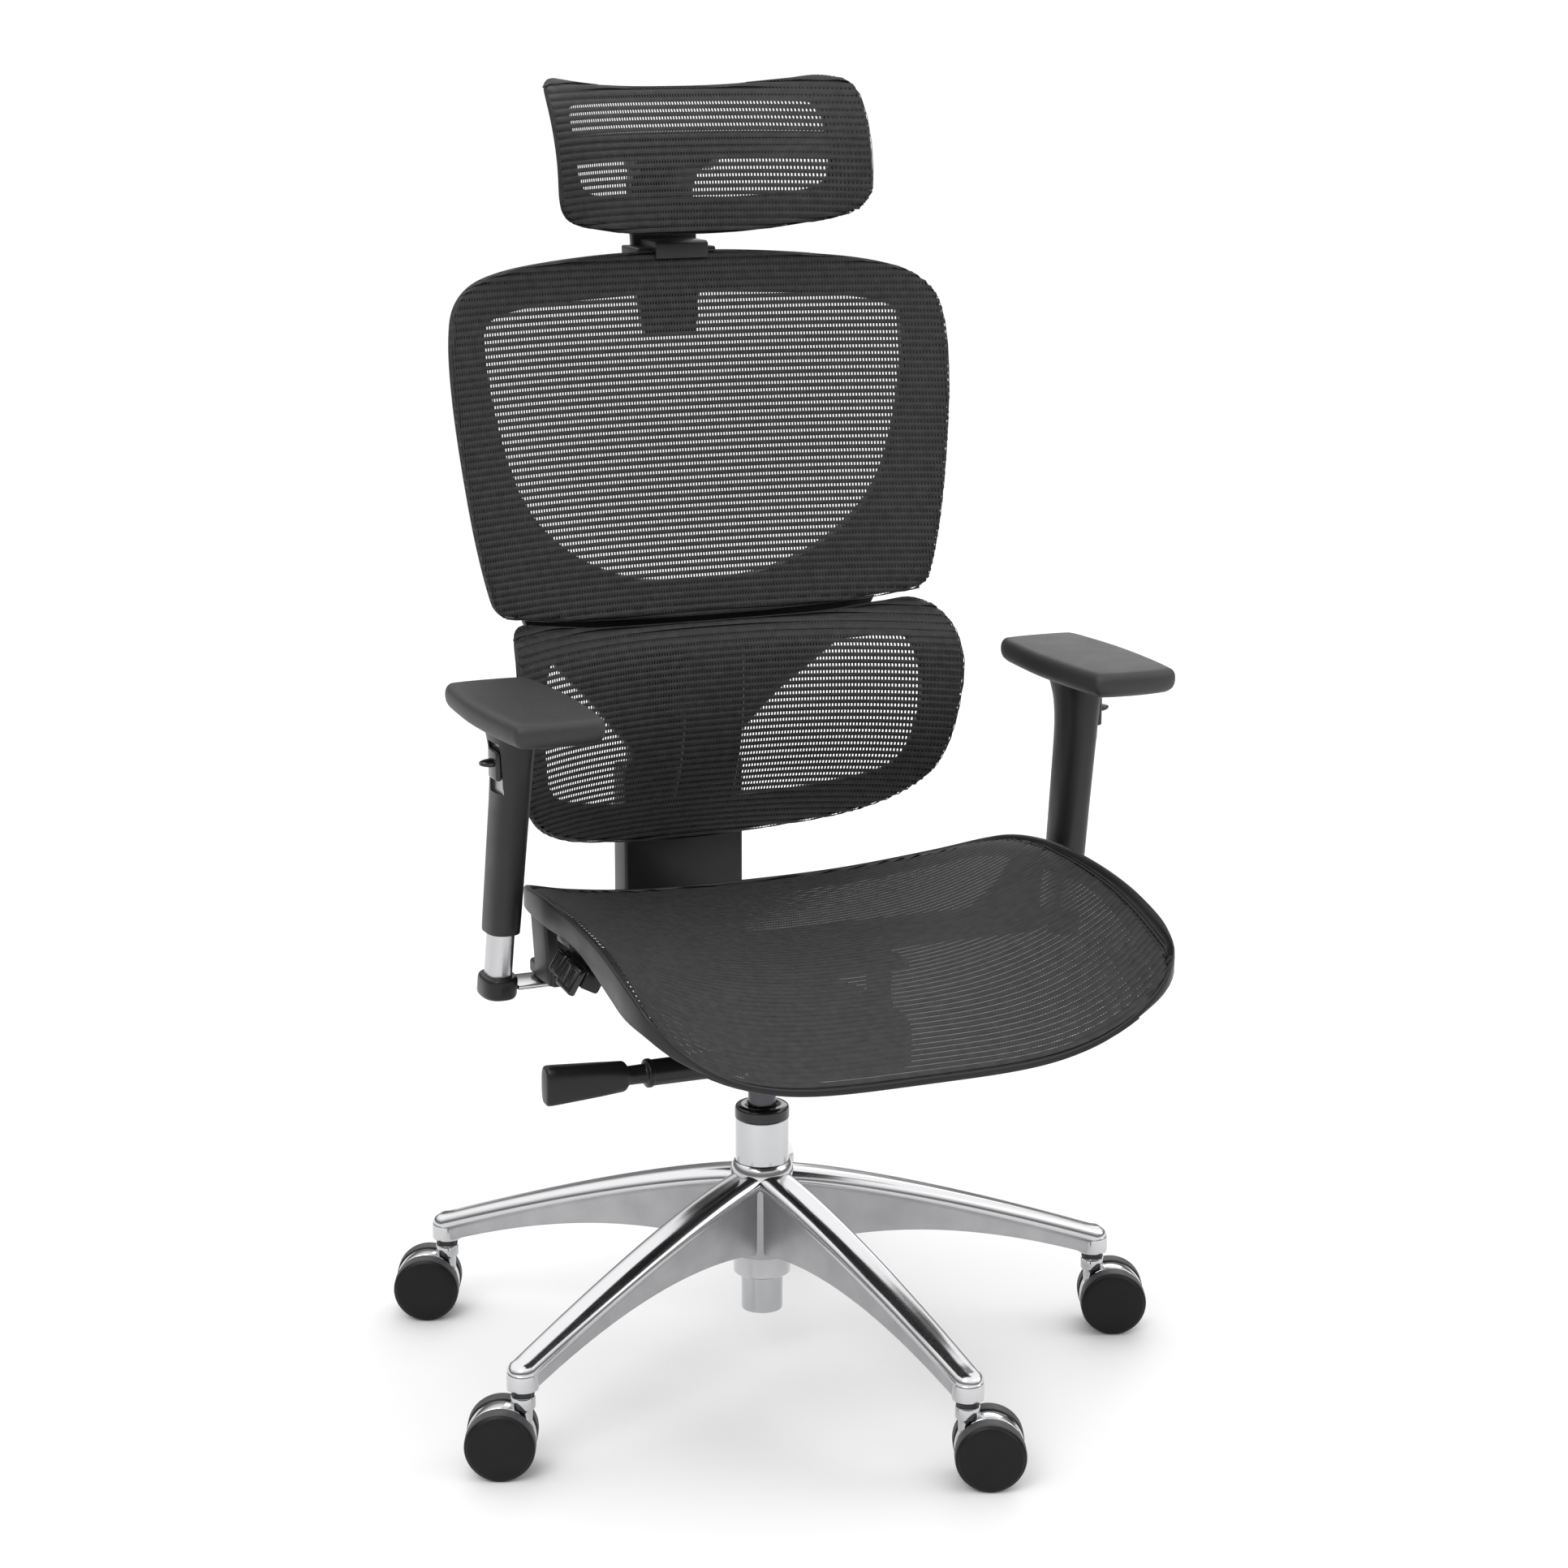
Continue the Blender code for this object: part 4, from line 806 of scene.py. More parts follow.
def make_lift():
    profile = [
        (0.0056, 0.05), (0.0165, 0.05), (0.0182, 0.0506), (0.0185, 0.052), (0.0185, 0.075), (0.0238, 0.18),
        (0.0238, 0.2285), (0.0235, 0.2298), (0.0228, 0.2302), (0.0165, 0.2302), (0.0165, 0.057),
        (0.0056, 0.057),
    ]
    put(turned(profile, 96), "lift_tube_chromed", "base", "chrome", "chrome", "lift_outer_tube")
    profile = [
        (0.0128, 0.17), (0.0162, 0.17), (0.0162, 0.2303), (0.0238, 0.2303), (0.0243, 0.2308),
        (0.0243, 0.2385), (0.024, 0.24), (0.0232, 0.2412), (0.0218, 0.2419), (0.0155, 0.2422),
        (0.014, 0.2415), (0.0128, 0.2405),
    ]
    put(turned(profile, 96), "lift_guide_ring", "base", "gloss", "black_nylon", "lift_guide_bush")
    profile = [
        (0.0056, 0.115), (0.0117, 0.115), (0.0125, 0.1158), (0.0125, 0.347), (0.0119, 0.3495),
        (0.0105, 0.35), (0.004, 0.35), (0.004, 0.354), (0, 0.354), (0, 0.325), (0.0056, 0.325),
    ]
    put(turned(profile), "lift_cylinder_dark", "seat_carriage", "dark_chrome", "painted_steel",
        "lift_cylinder")


def castor_shapes():
    """One castor in its own frame: the stem at the origin, the wheels trailing along +X, turning about Y."""
    centre = (CASTOR_TRAIL, WHEEL_RADIUS)
    fender = arc(centre, 0.0293, -22, 202, 57) + arc(centre, 0.0125, 205, 335, 13)
    hood = soften(prism(fender, "Y", -0.0075, 0.0075), 0.0012, 3, 50)
    profile = [
        (0.0056, 0.0405), (0.0078, 0.0405), (0.0078, 0.054), (0.0082, 0.0552), (0.0101, 0.0568),
        (0.0105, 0.058), (0.0105, 0.067), (0.0102, 0.0676), (0.0095, 0.0678), (0.0056, 0.0678),
    ]
    hood = joined(hood, turned(profile, 48))
    axle = rod(0.003, (0, -0.0215, 0), (0, 0.0215, 0), 24)
    profile = [
        (0, 0.0274), (0.012, 0.0273), (0.02, 0.0271), (0.0258, 0.0267), (0.0268, 0.0264), (0.0273, 0.0256),
        (0.0277, 0.0253), (0.0286, 0.025), (0.0294, 0.0241), (0.0299, 0.0226), (0.03, 0.0208),
        (0.03, 0.0125), (0.0297, 0.0105), (0.0287, 0.0091), (0.027, 0.0085), (0.004, 0.0085),
        (0.004, 0.0222), (0, 0.0222),
    ]
    wheel = turned(profile, 72)
    wheel.data.transform(Matrix.Rotation(-math.pi / 2, 4, "X"))
    tint(wheel, 1, lambda c, n: math.hypot(c.x, c.z) > 0.0292)
    return {"hood": hood, "axle": axle, "wheel": wheel}


def make_castors():
    shapes = castor_shapes()
    axle_at = (CASTOR_TRAIL, 0, WHEEL_RADIUS)
    tyre = ("castor_tyre", ("disc", "tread"))
    for number, angle in enumerate(STAR_ANGLES, 1):
        tip = star_tip(angle)
        heading = CASTOR_HEADING + (0 if tip.x > 0 else math.pi)
        place = Matrix.Translation(tip) @ Matrix.Rotation(heading, 4, "Z")
        fork = f"castor_{number}"
        pieces = (
            ("hood", "hood", (0, 0, 0), 0, fork, "chrome", "chrome"),
            ("axle", "axle", axle_at, 0, fork, "steel", "steel"),
            ("wheel_a", "wheel", axle_at, 0, f"{fork}_wheel_a", *tyre),
            ("wheel_b", "wheel", axle_at, math.pi, f"{fork}_wheel_b", *tyre),
        )
        for piece, kind, at, turn, body, slot, looks in pieces:
            made = linked("shape", shapes[kind].data.copy())
            made.data.transform(place @ Matrix.Translation(at) @ Matrix.Rotation(turn, 4, "Z"))
            put(made, f"{fork}_{piece}_fine", body, looks, slot, f"{fork}_{piece}", 40)
    for made in shapes.values():
        bpy.data.objects.remove(made)


# Mechanism, handle and controls

def make_mechanism():
    side = [
        (-0.185, 0.326), (-0.168, 0.314), (-0.03, 0.306), (0.03, 0.306), (0.066, 0.314), (0.08, 0.326),
        (0.08, 0.348), (-0.085, 0.3665), (-0.172, 0.3665), (-0.185, 0.358),
    ]
    housing = prism(side, "X", -0.06, 0.06, 0.0045, 4)
    trunnion = cross_rod(0.006, 0.078, SEAT_AXIS, 32, 0.0008)
    ribs = [
        box((-0.05, y - 0.0015, 0.3052), (0.05, y + 0.0015, 0.313), 0.0008, 2) for y in (-0.13, -0.09, -0.05)
    ]
    collar = turned([(0.0128, 0.3), (0.0215, 0.3), (0.0225, 0.301), (0.0245, 0.31), (0.0128, 0.31)])
    housing = joined(housing, trunnion, collar, *ribs)
    put(housing, "mechanism_housing_cast", "seat_carriage", "paint", "painted_steel", "mechanism_housing")
    shaft = cross_rod(0.006, 0.077, TILT_AXIS, 32, 0.0008)
    put(shaft, "tilt_shaft_turned", "seat_carriage", "steel", "steel", "tilt_shaft")

    plate = box((-0.085, -0.125, 0.39), (0.085, 0.015, BEAM_BOTTOM - GAP), 0.002)
    lug = [(-0.12, 0.393), (-0.113, 0.352), (-0.106, 0.346), (-0.094, 0.346), (-0.087, 0.352), (-0.08, 0.393)]
    lugs = twins(lug, 0.0625, 0.0715, 0.0015)
    bolts = [rod(0.005, (x, y, 0.3862), (x, y, 0.3907), 6) for x in (-0.07, 0.07) for y in (-0.04, 0.002)]
    put(joined(plate, *lugs, *bolts), "seat_plate_pressed", "seat", "paint", "painted_steel", "seat_plate")


def make_handle():
    """A round bar with a collar, a neck and a flat paddle grip at its end."""
    bar = [  # x, radius
        (-0.052, 0.006), (-0.0735, 0.006), (-0.0738, 0.01), (-0.0744, 0.0109), (-0.0754, 0.0112),
        (-0.1685, 0.011), (-0.169, 0.0112), (-0.1692, 0.0118), (-0.1698, 0.0121), (-0.1706, 0.0122),
        (-0.1726, 0.0122), (-0.1734, 0.0119), (-0.174, 0.011), (-0.1744, 0.0092), (-0.1752, 0.0083),
        (-0.177, 0.0081),
    ]
    grip = [  # x, half height, half thickness
        (-0.189, 0.008, 0.008), (-0.1902, 0.0088, 0.0084), (-0.1912, 0.0106, 0.0089),
        (-0.1924, 0.0122, 0.0093), (-0.1945, 0.0131, 0.0096), (-0.204, 0.0135, 0.0098),
        (-0.215, 0.014, 0.01), (-0.23, 0.015, 0.01), (-0.245, 0.016, 0.01), (-0.254, 0.0166, 0.0098),
        (-0.2585, 0.0168, 0.0095), (-0.2606, 0.0164, 0.0088), (-0.2616, 0.0152, 0.0078),
        (-0.262, 0.0132, 0.0062),
    ]
    rings = []
    for x, tall, thick in [(x, radius, radius) for x, radius in bar] + grip:
        ring = oval(2 * thick, 2 * tall, 40, 2.0 + 1.2 * ease((-x - 0.19) / 0.03))
        rings.append([(x, HANDLE_AXIS.y + u, HANDLE_AXIS.z + v) for u, v in ring])
    put(loft(rings), "tension_handle_grip", "tension_handle", "satin", "black_nylon", "tension_handle", 50)


def make_controls():
    """Two cable paddles in a pod under the rim, each with two shallow recesses."""
    turn = Matrix.Rotation(math.radians(5), 4, "X") @ Matrix.Rotation(math.radians(28), 4, "Y")
    place = Matrix.Translation((-0.221, -0.137, 0.4265)) @ turn
    pod = box((-0.008, -0.03, -0.008), (0.01, 0.025, 0.008), 0.003, 4)
    pod.data.transform(place)
    bracket = [
        (-0.2225, 0.425), (-0.2225, 0.4505), (-0.236, 0.4505), (-0.236, 0.4565), (-0.214, 0.4565),
        (-0.214, 0.425),
    ]
    put(joined(pod, prism(bracket, "Y", -0.155, -0.125, 0.0012, 2)), "control_pod_shell", "seat", "satin",
        "black_nylon", "control_pod")
    paddles = (("paddle_small", 0.0045, 0.0235, 0.013), ("paddle_large", -0.03, 0.002, 0.017))
    for name, low, high, tall in paddles:
        paddle = box((-0.015, low, -tall), (-0.0083, high, 0.007), 0.0022, 4)
        cells = []
        middle = (low + high) / 2
        for near, far in ((low + 0.003, middle - 0.0009), (middle + 0.0009, high - 0.003)):
            cells.append(box((-0.018, near, -tall + 0.0035), (-0.0136, far, 0.0035), 0.001, 3))
        combine(paddle, cells, "DIFFERENCE")
        paddle.data.transform(place)
        put(paddle, name + "_gloss", name, "gloss", "gloss_black", name, 40)


# Seat

def slimness(outline):
    """The share of its width that the seat's lip keeps at each point: it thins along the front."""
    return 1 - 0.6 * ease((-0.27 - outline[:, 1:]) / 0.055)


def make_seat():
    outline = around(SEAT_OUTLINE, 260)
    slim = slimness(outline)
    lip = [  # inset, depth below the seat's top
        (0, 0.005), (0.0004, 0.0032), (0.0012, 0.0018), (0.0024, 0.0009), (0.0038, 0.0007),
        (0.005, 0.0013), (0.0057, 0.0026), (LIP_WIDTH, 0.0032),
    ]
    ledge = [(RIM_WIDTH - 0.0004, 0.0034), (RIM_WIDTH, 0.0041), (RIM_WIDTH, 0.0096)]
    under = [  # inset, height above the rim's foot
        (RIM_WIDTH - 0.001, 0.0018), (RIM_WIDTH - 0.0025, 0.0005), (0.0058, 0), (0.003, 0.0002),
        (0.0012, 0.0011), (0.0002, 0.0028),
    ]
    rings = [seat_lay(inset(outline, d * slim), np.full(260, drop)) for d, drop in lip]
    rings += [seat_lay(inset(outline, d), np.full(260, drop)) for d, drop in ledge]
    foot = seat_z(*outline.T) - rim_depth(*outline.T) * (0.65 + 0.35 * slim[:, 0])
    rings += [np.column_stack([inset(outline, d), foot + rise]) for d, rise in under]
    rim = loft(list(np.stack(rings, 1)), closed=True)
    pieces = []
    for sign in (-1, 1):
        strut = [(0.2335, 0.4655), (0.229, 0.399), (0.217, 0.399), (0.219, 0.43), (0.2225, 0.463)]
        gusset = [
            (0.227, 0.46), (0.224, 0.4), (0.15, 0.4), (0.15, 0.41), (0.176, 0.4185), (0.2, 0.437),
            (0.216, 0.46),
        ]
        pieces.append(prism([(sign * x, z) for x, z in strut], "Y", -0.086, -0.05, 0.0022, 3))
        pieces.append(prism([(sign * x, z) for x, z in gusset], "Y", -0.0815, -0.0545, 0.0015, 3))
    beam = box((-0.2275, -0.0875, BEAM_BOTTOM), (0.2275, -0.03, BEAM_TOP), 0.0035, 4)
    put(joined(rim, beam, *pieces), "seat_rim_moulded", "seat", "nylon", "black_nylon", "seat_frame", 40)
    edge = LIP_WIDTH * slimness(around(SEAT_OUTLINE, 240)) + 0.0008
    weave("seat_cloth", "seat", "seat_mesh", SEAT_OUTLINE, seat_lay, 0.002, 0.003, edge,
          SEAT_RIB, SEAT_THREAD, 0.014, -SEAT_CLOTH_SUNK)


# Arms

def arm_section(sign, z, width, depth, shift=0.0):
    """The outline of an arm's upright at this height, shifted to the rear."""
    x, y, _ = ARM_FOOT + ARM_LEAN * (z - ARM_FOOT.z)
    return [(sign * x + u, y + shift + v, z) for u, v in oval(width, depth, 56, 2.6)]


def arm_post(sign, side):
    """The oval tube, its foot and the flat bracket that carries it."""
    tube = loft([arm_section(sign, z, 0.0205, 0.0325) for z in np.linspace(0.398, 0.56, 9)])
    put(tube, f"arm_{side}_tube", "seat", "tube", "polished_aluminium", f"arm_{side}_post")
    rounding = [  # height, how much narrower
        (0.388, 0.006), (0.3884, 0.0035), (0.39, 0.001), (0.392, 0), (0.4035, 0), (0.4058, 0.001),
        (0.4071, 0.0032), (0.4075, 0.006),
    ]
    foot = loft([arm_section(sign, z, 0.03 - d, 0.0435 - d) for z, d in rounding])
    put(foot, f"arm_{side}_foot", "seat", "satin", "polished_aluminium", sharp=50)
    inner, outer = sorted((sign * 0.196, sign * (ARM_FOOT.x - 0.0156)))
    bracket = box((inner, -0.067, 0.3935), (outer, -0.031, BEAM_BOTTOM - GAP), 0.001, 2)
    put(bracket, f"arm_{side}_bracket_flat", "seat", "aluminium", "polished_aluminium", f"arm_{side}_bracket")


def slot_block(sign, near, far, half, low, high, bevel):
    """A rounded box on the outer side of an arm's sleeve, centred on the slot's middle line."""
    inner, outer = sorted((sign * near, sign * far))
    return box((inner, SLOT_Y - half, low), (outer, SLOT_Y + half, high), bevel)


def arm_sleeve(sign, side):
    """The sleeve that flares under the pad, with a slot and the bright plate at its floor."""
    stations = [  # height, width, depth, shift to the rear
        (SLEEVE_LOW, 0.0273, 0.0413, 0), (SLEEVE_LOW + 0.0012, 0.0285, 0.0425, 0),
        (0.52, 0.0295, 0.044, 0), (0.575, 0.0305, 0.0465, 0), (0.6, 0.0325, 0.05, 0.002),
        (0.615, 0.036, 0.056, 0.005), (SLEEVE_HIGH, 0.042, 0.066, 0.0085),
    ]
    sleeve = loft([arm_section(sign, *station) for station in spline(stations, 40, False)])
    hollow = loft([arm_section(sign, z, 0.0211, 0.0331) for z in (SLEEVE_LOW - 0.01, 0.603)])
    slot = slot_block(sign, SLOT_FLOOR, 0.3, 0.012, SLOT_LOW, SLOT_HIGH, 0.002)
    combine(sleeve, [hollow, slot], "DIFFERENCE")
    put(sleeve, f"arm_{side}_sleeve_satin", f"arm_{side}", "nylon", "black_nylon", f"arm_{side}_sleeve", 40)
    low, high = SLOT_LOW + 0.0005, SLOT_HIGH - 0.0005
    floor = slot_block(sign, SLOT_FLOOR - 0.0008, SLOT_FLOOR + 0.0003, 0.0116, low, high, 0)
    put(floor, f"arm_{side}_slot_plate", f"arm_{side}", "steel", "polished_aluminium")


def arm_trigger(sign, side):
    """The release button in the slot, with a rounded nub."""
    plate = slot_block(sign, SLOT_FLOOR + 0.0005, 0.2785, 0.0108, 0.583, 0.6085, 0.002)
    nub = []
    for t in np.linspace(0, 1, 8):
        shrink = math.sqrt(1 - (0.92 * t) ** 2)
        ring = oval(0.012 * shrink, 0.007 * shrink, 24, 2.6)
        nub.append([(sign * (0.278 + 0.011 * t), SLOT_Y + u, 0.597 + v) for u, v in ring])
    trigger = f"arm_{side}_trigger"
    put(joined(plate, loft(nub)), trigger + "_gloss", trigger, "gloss", "black_nylon", trigger, 50)


def arm_pad(sign, side):
    """The soft pad: rounded sides and a slightly crowned top."""
    outline = around(PAD_OUTLINE, 160)
    levels = [  # depth below the top, inset
        (0.0225, 0.0092), (0.022, 0.0075), (0.0206, 0.0048), (0.0182, 0.0021), (0.015, 0.0006), (0.0115, 0),
        (0.0085, 0.0001), (0.006, 0.0006), (0.004, 0.0016), (0.0025, 0.0031), (0.0015, 0.005), (0.001, 0.007),
    ]
    rings = [np.column_stack([inset(outline, d), np.full(160, PAD_TOP - deep)]) for deep, d in levels]
    edge, middle = rings[-1], rings[-1].mean(0)
    for share in (0.85, 0.65, 0.45, 0.25, 0.08):
        rings.append(middle + (edge - middle) * share + (0, 0, 0.001 * (1 - share**2)))
    pad = loft([ring + (sign * PAD_X, 0, 0) for ring in rings])
    put(pad, f"arm_{side}_pad_soft", f"arm_{side}", "pu", "soft_pu", f"arm_{side}_pad", 60)


# Back

def make_back_post():
    """A fork round the mechanism, a heel, and an upright that is a channel above its joint line."""
    front, foot, under = 0.092, 0.318, 0.345
    heel_curve = [
        (0.18, foot), (0.192, 0.3205), (0.2025, 0.328), (0.2095, 0.34), (POST_BACK, 0.356),
        (POST_BACK, 0.375),
    ]
    inner_curve = [
        (POST_FRONT, 0.385), (POST_FRONT, 0.372), (0.1795, 0.3595), (0.171, 0.35), (0.158, 0.3462),
        (0.14, under),
    ]
    profile = [(front, foot), *spline(heel_curve, 16, False), (POST_BACK, POST_TOP), (POST_FRONT, POST_TOP)]
    profile += [*spline(inner_curve, 16, False), (front, under)]
    post = soften(prism(profile, "X", -POST_HALF, POST_HALF), 0.0028, 4, 60)
    half, floor = CARRIER_HALF + GAP, POST_FRONT + CARRIER_THICK + GAP
    combine(post, [box((-half, 0.1, POST_SPLIT), (half, floor, 0.6))], "DIFFERENCE")
    heel = box((-0.0715, front, foot), (0.0715, 0.125, under), 0.0025, 3)
    eye = arc((TILT_AXIS.y, TILT_AXIS.z), 0.0135, 90, 270, 25)
    forks = twins([(0.1, foot), (0.1, under), *eye], 0.061, 0.0715, 0.0012)
    put(joined(post, heel, *forks), "back_post_upright", "recliner", "satin", "black_nylon", "back_post", 40)


def make_carrier():
    """The Y that slides in the post and holds the upper back."""
    low, neck, shoulder = YOKE_HALF[0][0], 0.52, 0.683
    rounding = [0.6846, 0.6856, 0.686]
    heights = np.concatenate([np.linspace(low, neck, 8), np.linspace(0.526, shoulder, 40), rounding])
    at, widths = np.array(YOKE_HALF).T
    rings = []
    for z in heights:
        half = float(np.interp(z, at, widths)) if z < 0.525 else float(smooth(np.array(z), at, widths))
        trim = 0.0035 * (1 - math.sqrt(max(1 - max((z - shoulder) / 0.003, 0) ** 2, 0)))
        thick = CARRIER_THICK - 0.0075 * float(ease((z - neck) / 0.05)) - 2 * trim
        half -= trim
        corner = 0.003
        front = [(-half, corner), (-half + 0.0009, 0.0009), (-half + corner, 0)]
        middle = [(x, 0) for x in np.linspace(-half + corner, half - corner, 15)[1:-1]]
        one_side = front + middle + [(-x, d) for x, d in reversed(front)]
        ring = [(x, float(yoke_y(x, z)) + trim + d) for x, d in one_side]
        ring += [(x, float(yoke_y(x, z)) + trim + thick - d) for x, d in reversed(one_side)]
        rings.append([(x, y, z) for x, y in ring])
    put(loft(rings), "back_carrier_yoke", "back", "nylon", "black_nylon", "back_carrier", 50)


def guide_block():
    """The block behind the top of the back in which the headrest's stalk slides, with a lip over the edge."""
    side = [(0.1935, 0.944), (0.229, 0.944), (0.2365, 0.984), (0.1935, 0.984)]
    block = prism(side, "X", -0.0375, 0.0375, 0.002, 3)
    lip = [
        (0.1812, 0.975), (0.1838, 0.975), (0.1838, 0.983), (0.1895, 0.983), (0.1895, 0.979), (0.22, 0.979),
        (0.22, 0.99), (0.1846, 0.99), (0.1812, 0.9882),
    ]
    cover = prism(lip, "X", -0.025, 0.025, 0.0008, 2)
    half = STALK_HALF + 0.0004
    for piece in (block, cover):
        combine(piece, [prism(stalk_side(0.9, 1.02, 0.0004), "X", -half, half)], "DIFFERENCE")
    return joined(block, cover)


def make_back():
    outline = around(BACK_OUTLINE, 260)
    lay = upright(back_y)
    frame = band(outline, facing(outline, BACK_WINDOW, (0, 0.83)), lay, frame_section(0.014, 0.0088, 0.002))
    slot = prism(stalk_side(0.9, 1.02, 0.0006), "X", -STALK_HALF - 0.0006, STALK_HALF + 0.0006)
    strip = []  # what joins the frame's lower edge to the carrier
    for x in np.linspace(-0.15, 0.15, 31):
        front, rear = float(back_y(x, 0.674)) + 0.008, float(yoke_y(x, 0.674)) - 0.0012
        strip.append([(x, front, 0.667), (x, rear, 0.667), (x, rear, 0.682), (x, front, 0.682)])
    combine(frame, [slot], "DIFFERENCE")
    frame = joined(frame, loft(strip), guide_block())
    put(frame, "back_frame_moulded", "back", "nylon", "black_nylon", "back_frame", 40)
    weave("back_cloth", "back", "back_mesh", BACK_OUTLINE, lay, 0.003, 0.0055)


def make_lumbar():
    outline = around(LUMBAR_OUTLINE, 240)
    lay = upright(lumbar_y)
    frame = band(outline, facing(outline, LUMBAR_WINDOW, (0, 0.56)), lay, frame_section(0.01, 0.0066, 0.0012))
    spine = bar(lay, ((0, 0.48), (0, 0.642)), 0.028, 0.01, (1, 0))
    stand = box((-0.024, 0.1145, PIN_HEIGHT - 0.024), (0.024, 0.16, PIN_HEIGHT + 0.024), 0.003)
    pins = [rod(PIN_RADIUS, (x, 0.155, PIN_HEIGHT), (x, 0.196, PIN_HEIGHT), 32, 0.001) for x in PIN_AT]
    frame = joined(frame, spine, stand, *pins)
    put(frame, "lumbar_frame_moulded", "lumbar", "nylon", "black_nylon", "lumbar_frame", 40)
    weave("lumbar_cloth", "lumbar", "lumbar_mesh", LUMBAR_OUTLINE, lay, 0.0028, 0.0035)


# Headrest

def stalk_side(low, high, spare):
    """Side view of the headrest's stalk, a straight leaning bar, between two heights: (y, z)."""
    at = [(z, STALK_LOW_Y + STALK_LEAN * (z - STALK_LOW)) for z in (low, high)]
    return [(y - spare, z) for z, y in at] + [(y + STALK_THICK + spare, z) for z, y in reversed(at)]


def make_headrest():
    rings = []
    for above, half in ((0, 0.0235), (0.004, 0.0255), (0.045, STALK_HALF), (1.04 - STALK_LOW, STALK_HALF)):
        y, z = STALK_LOW_Y + STALK_LEAN * above, STALK_LOW + above
        rings.append([(-half, y, z), (half, y, z), (half, y + STALK_THICK, z), (-half, y + STALK_THICK, z)])
    stalk = soften(loft(rings), 0.0018, 3)
    grooves = []
    for x in (-0.019, 0, 0.019):
        side = [(y + 0.0078, z) for y, z in stalk_side(STALK_LOW + 0.008, 0.94, 0)]
        grooves.append(prism(side, "X", x - 0.004, x + 0.004))
    combine(stalk, grooves, "DIFFERENCE")
    knuckle = cross_rod(0.0105, STALK_HALF, HEAD_AXIS, 48, 0.0012)
    side = [(0.231, 1.03), (0.24, 1.03), (0.239, 1.048), (0.218, 1.067), (0.208, 1.06), (0.22, 1.046)]
    web = prism(side, "X", -STALK_HALF + 0.0005, STALK_HALF - 0.0005, 0.001, 2)
    put(joined(stalk, knuckle, web), "head_stalk_bar", "head_slide", "satin", "black_nylon", "head_stalk", 40)

    outline = around(HEAD_OUTLINE, 220)
    lay = upright(head_y)
    frame = band(outline, facing(outline, HEAD_WINDOW, (0, 1.068)), lay, frame_section(0.009, 0.006, 0.001))
    brace = bar(lay, ((-0.121, 1.074), (0.121, 1.074)), 0.012, 0.009, (0, 1))
    eye = arc((HEAD_AXIS.y, HEAD_AXIS.z), 0.009, 60, -120, 19)
    cheeks = twins([(0.176, 1.066), (0.176, 1.082), (0.195, 1.082), *eye], 0.0315, 0.04, 0.0008)
    frame = joined(frame, brace, cross_rod(0.003, 0.036, HEAD_AXIS, 24), *cheeks)
    put(frame, "head_frame_moulded", "headrest", "nylon", "black_nylon", "head_frame", 40)
    weave("head_cloth", "headrest", "head_mesh", HEAD_OUTLINE, lay, 0.0028, 0.0032)


# Surroundings

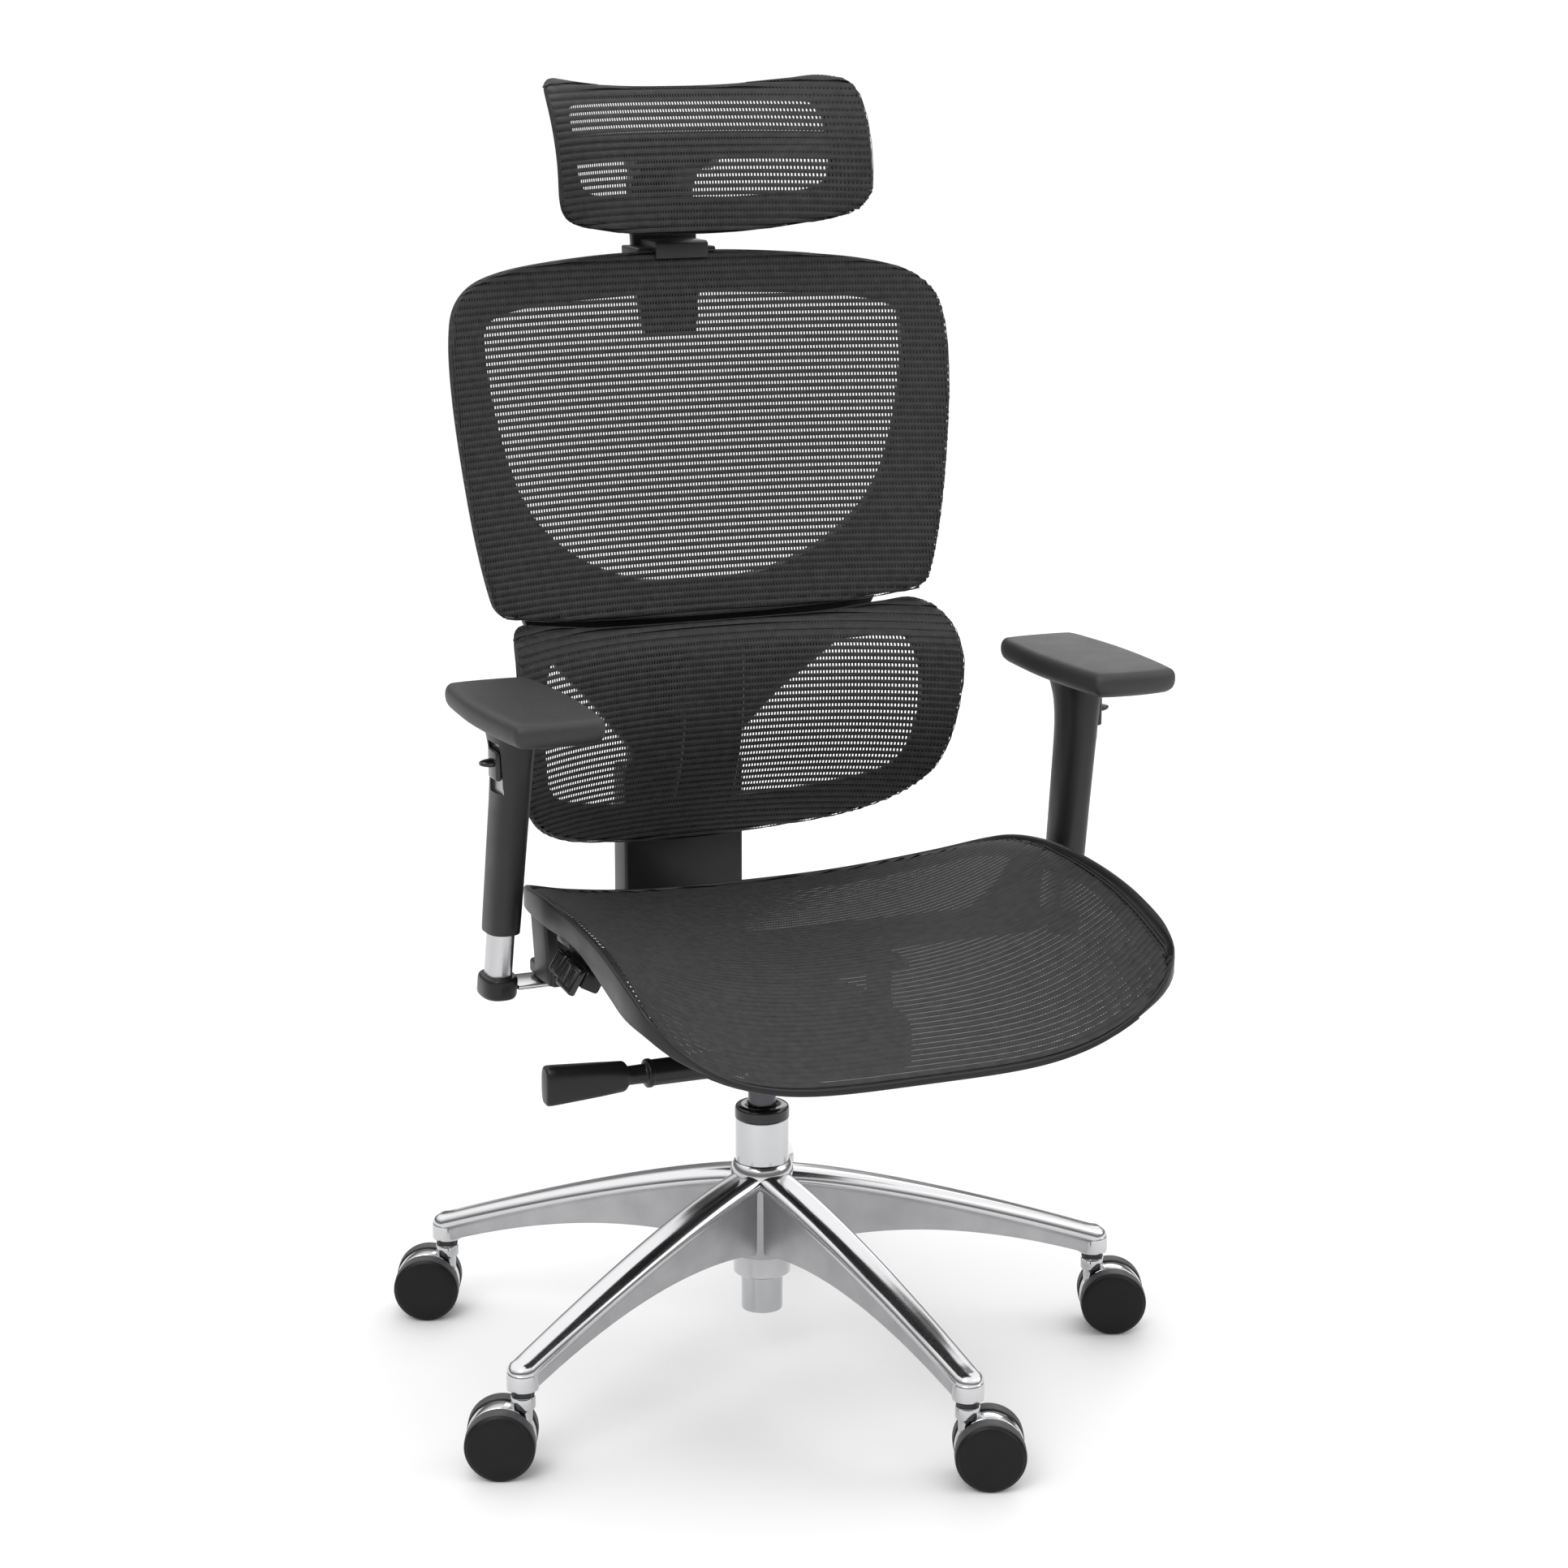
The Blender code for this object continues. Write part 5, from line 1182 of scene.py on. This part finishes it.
def make_stage():
    """A pale floor and backdrop, a soft sky that is dimmer near the horizon, and large soft lamps."""
    bm = bmesh.new()
    bmesh.ops.create_circle(bm, cap_ends=True, segments=96, radius=400.0)
    floor = shape(bm)
    floor.name = "floor"
    floor.data.materials.append(finish("pale_floor", (0.8, 0.8, 0.8), 0.6, sheen=((3,), 0.55, 0.65)))
    floor.location.z = -0.0002

    wall = turned([(45.0, -0.1), (45.0, 40.0), (45.1, 40.0), (45.1, -0.1)])
    wall.name = "backdrop"
    plain = finish("plain_backdrop", (1.0, 1.0, 1.0), 1.0)
    sockets = plain.node_tree.nodes["Principled BSDF"].inputs
    sockets["Emission Color"].default_value = (1.0, 1.0, 1.0, 1.0)
    sockets["Emission Strength"].default_value = 1.0
    wall.data.materials.append(plain)
    wall.visible_diffuse = wall.visible_glossy = wall.visible_transmission = wall.visible_shadow = False

    world = bpy.data.worlds.new("soft_sky")
    world.use_nodes = True
    nodes, links = world.node_tree.nodes, world.node_tree.links
    height = nodes.new("ShaderNodeSeparateXYZ")
    links.new(nodes.new("ShaderNodeTexCoord").outputs["Generated"], height.inputs["Vector"])
    ramp = nodes.new("ShaderNodeValToRGB")
    for stop, level in zip((0.02, 0.24, 0.42, 0.62), (0.1, 0.17, 0.62, 1.0)):
        element = ramp.color_ramp.elements.new(stop)
        element.color = (level, level, level, 1.0)
    ramp.color_ramp.elements.remove(ramp.color_ramp.elements[0])
    links.new(height.outputs["Z"], ramp.inputs["Fac"])
    links.new(ramp.outputs["Color"], nodes["Background"].inputs["Color"])
    nodes["Background"].inputs["Strength"].default_value = 1.58
    bpy.context.scene.world = world
    bpy.context.scene.view_settings.view_transform = "Standard"

    lamps = (  # place, width and height, watts
        ("key", (-2.6, -2.4, 3.2), (2.0, 2.0), 62.0),
        ("fill", (3.2, -1.4, 2.0), (2.0, 2.0), 22.0),
        ("rim", (2.4, 3.6, 1.9), (2.0, 1.2), 14.0),
    )
    for name, place, size, power in lamps:
        light = bpy.data.lights.new(name, "AREA")
        light.shape = "RECTANGLE"
        light.size, light.size_y = size
        light.energy = power
        lamp = linked(name, light)
        lamp.location = place
        lamp.rotation_euler = (Vector((0, 0, 0.5)) - Vector(place)).to_track_quat("-Z", "Y").to_euler()


def make_camera():
    """The photograph's view, from the chair's front right and a little above."""
    azimuth, elevation, distance = math.radians(-23.04), math.radians(13.07), 3.081
    level = math.cos(elevation)
    back = Vector((math.sin(azimuth) * level, -math.cos(azimuth) * level, math.sin(elevation)))
    camera = linked("camera", bpy.data.cameras.new("camera"))
    camera.location = AXIS + Vector((0, 0, 0.5375)) + back * distance
    camera.rotation_euler = (-back).to_track_quat("-Z", "Y").to_euler()
    camera.data.lens = 81.2
    camera.data.shift_x, camera.data.shift_y = 0.014, -0.0026
    bpy.context.scene.camera = camera


make_camera()
make_base()
make_lift()
make_castors()
make_mechanism()
make_handle()
make_controls()
make_seat()
for sign, side in ((1, "left"), (-1, "right")):
    arm_post(sign, side)
    arm_sleeve(sign, side)
    arm_trigger(sign, side)
    arm_pad(sign, side)
make_back_post()
make_carrier()
make_back()
make_lumbar()
make_headrest()
# CAD pieces that keep their shape
inside = {"lift_piston_rod": "steel", "lift_thrust_bearing": "steel", "tilt_spring": "steel"}
inside.update({f"castor_{number}_stem": "paint" for number in range(1, 6)})
for piece, look in inside.items():
    frame["nodes"][piece].data.materials.clear()
    frame["nodes"][piece].data.materials.append(LOOKS[look])
make_stage()
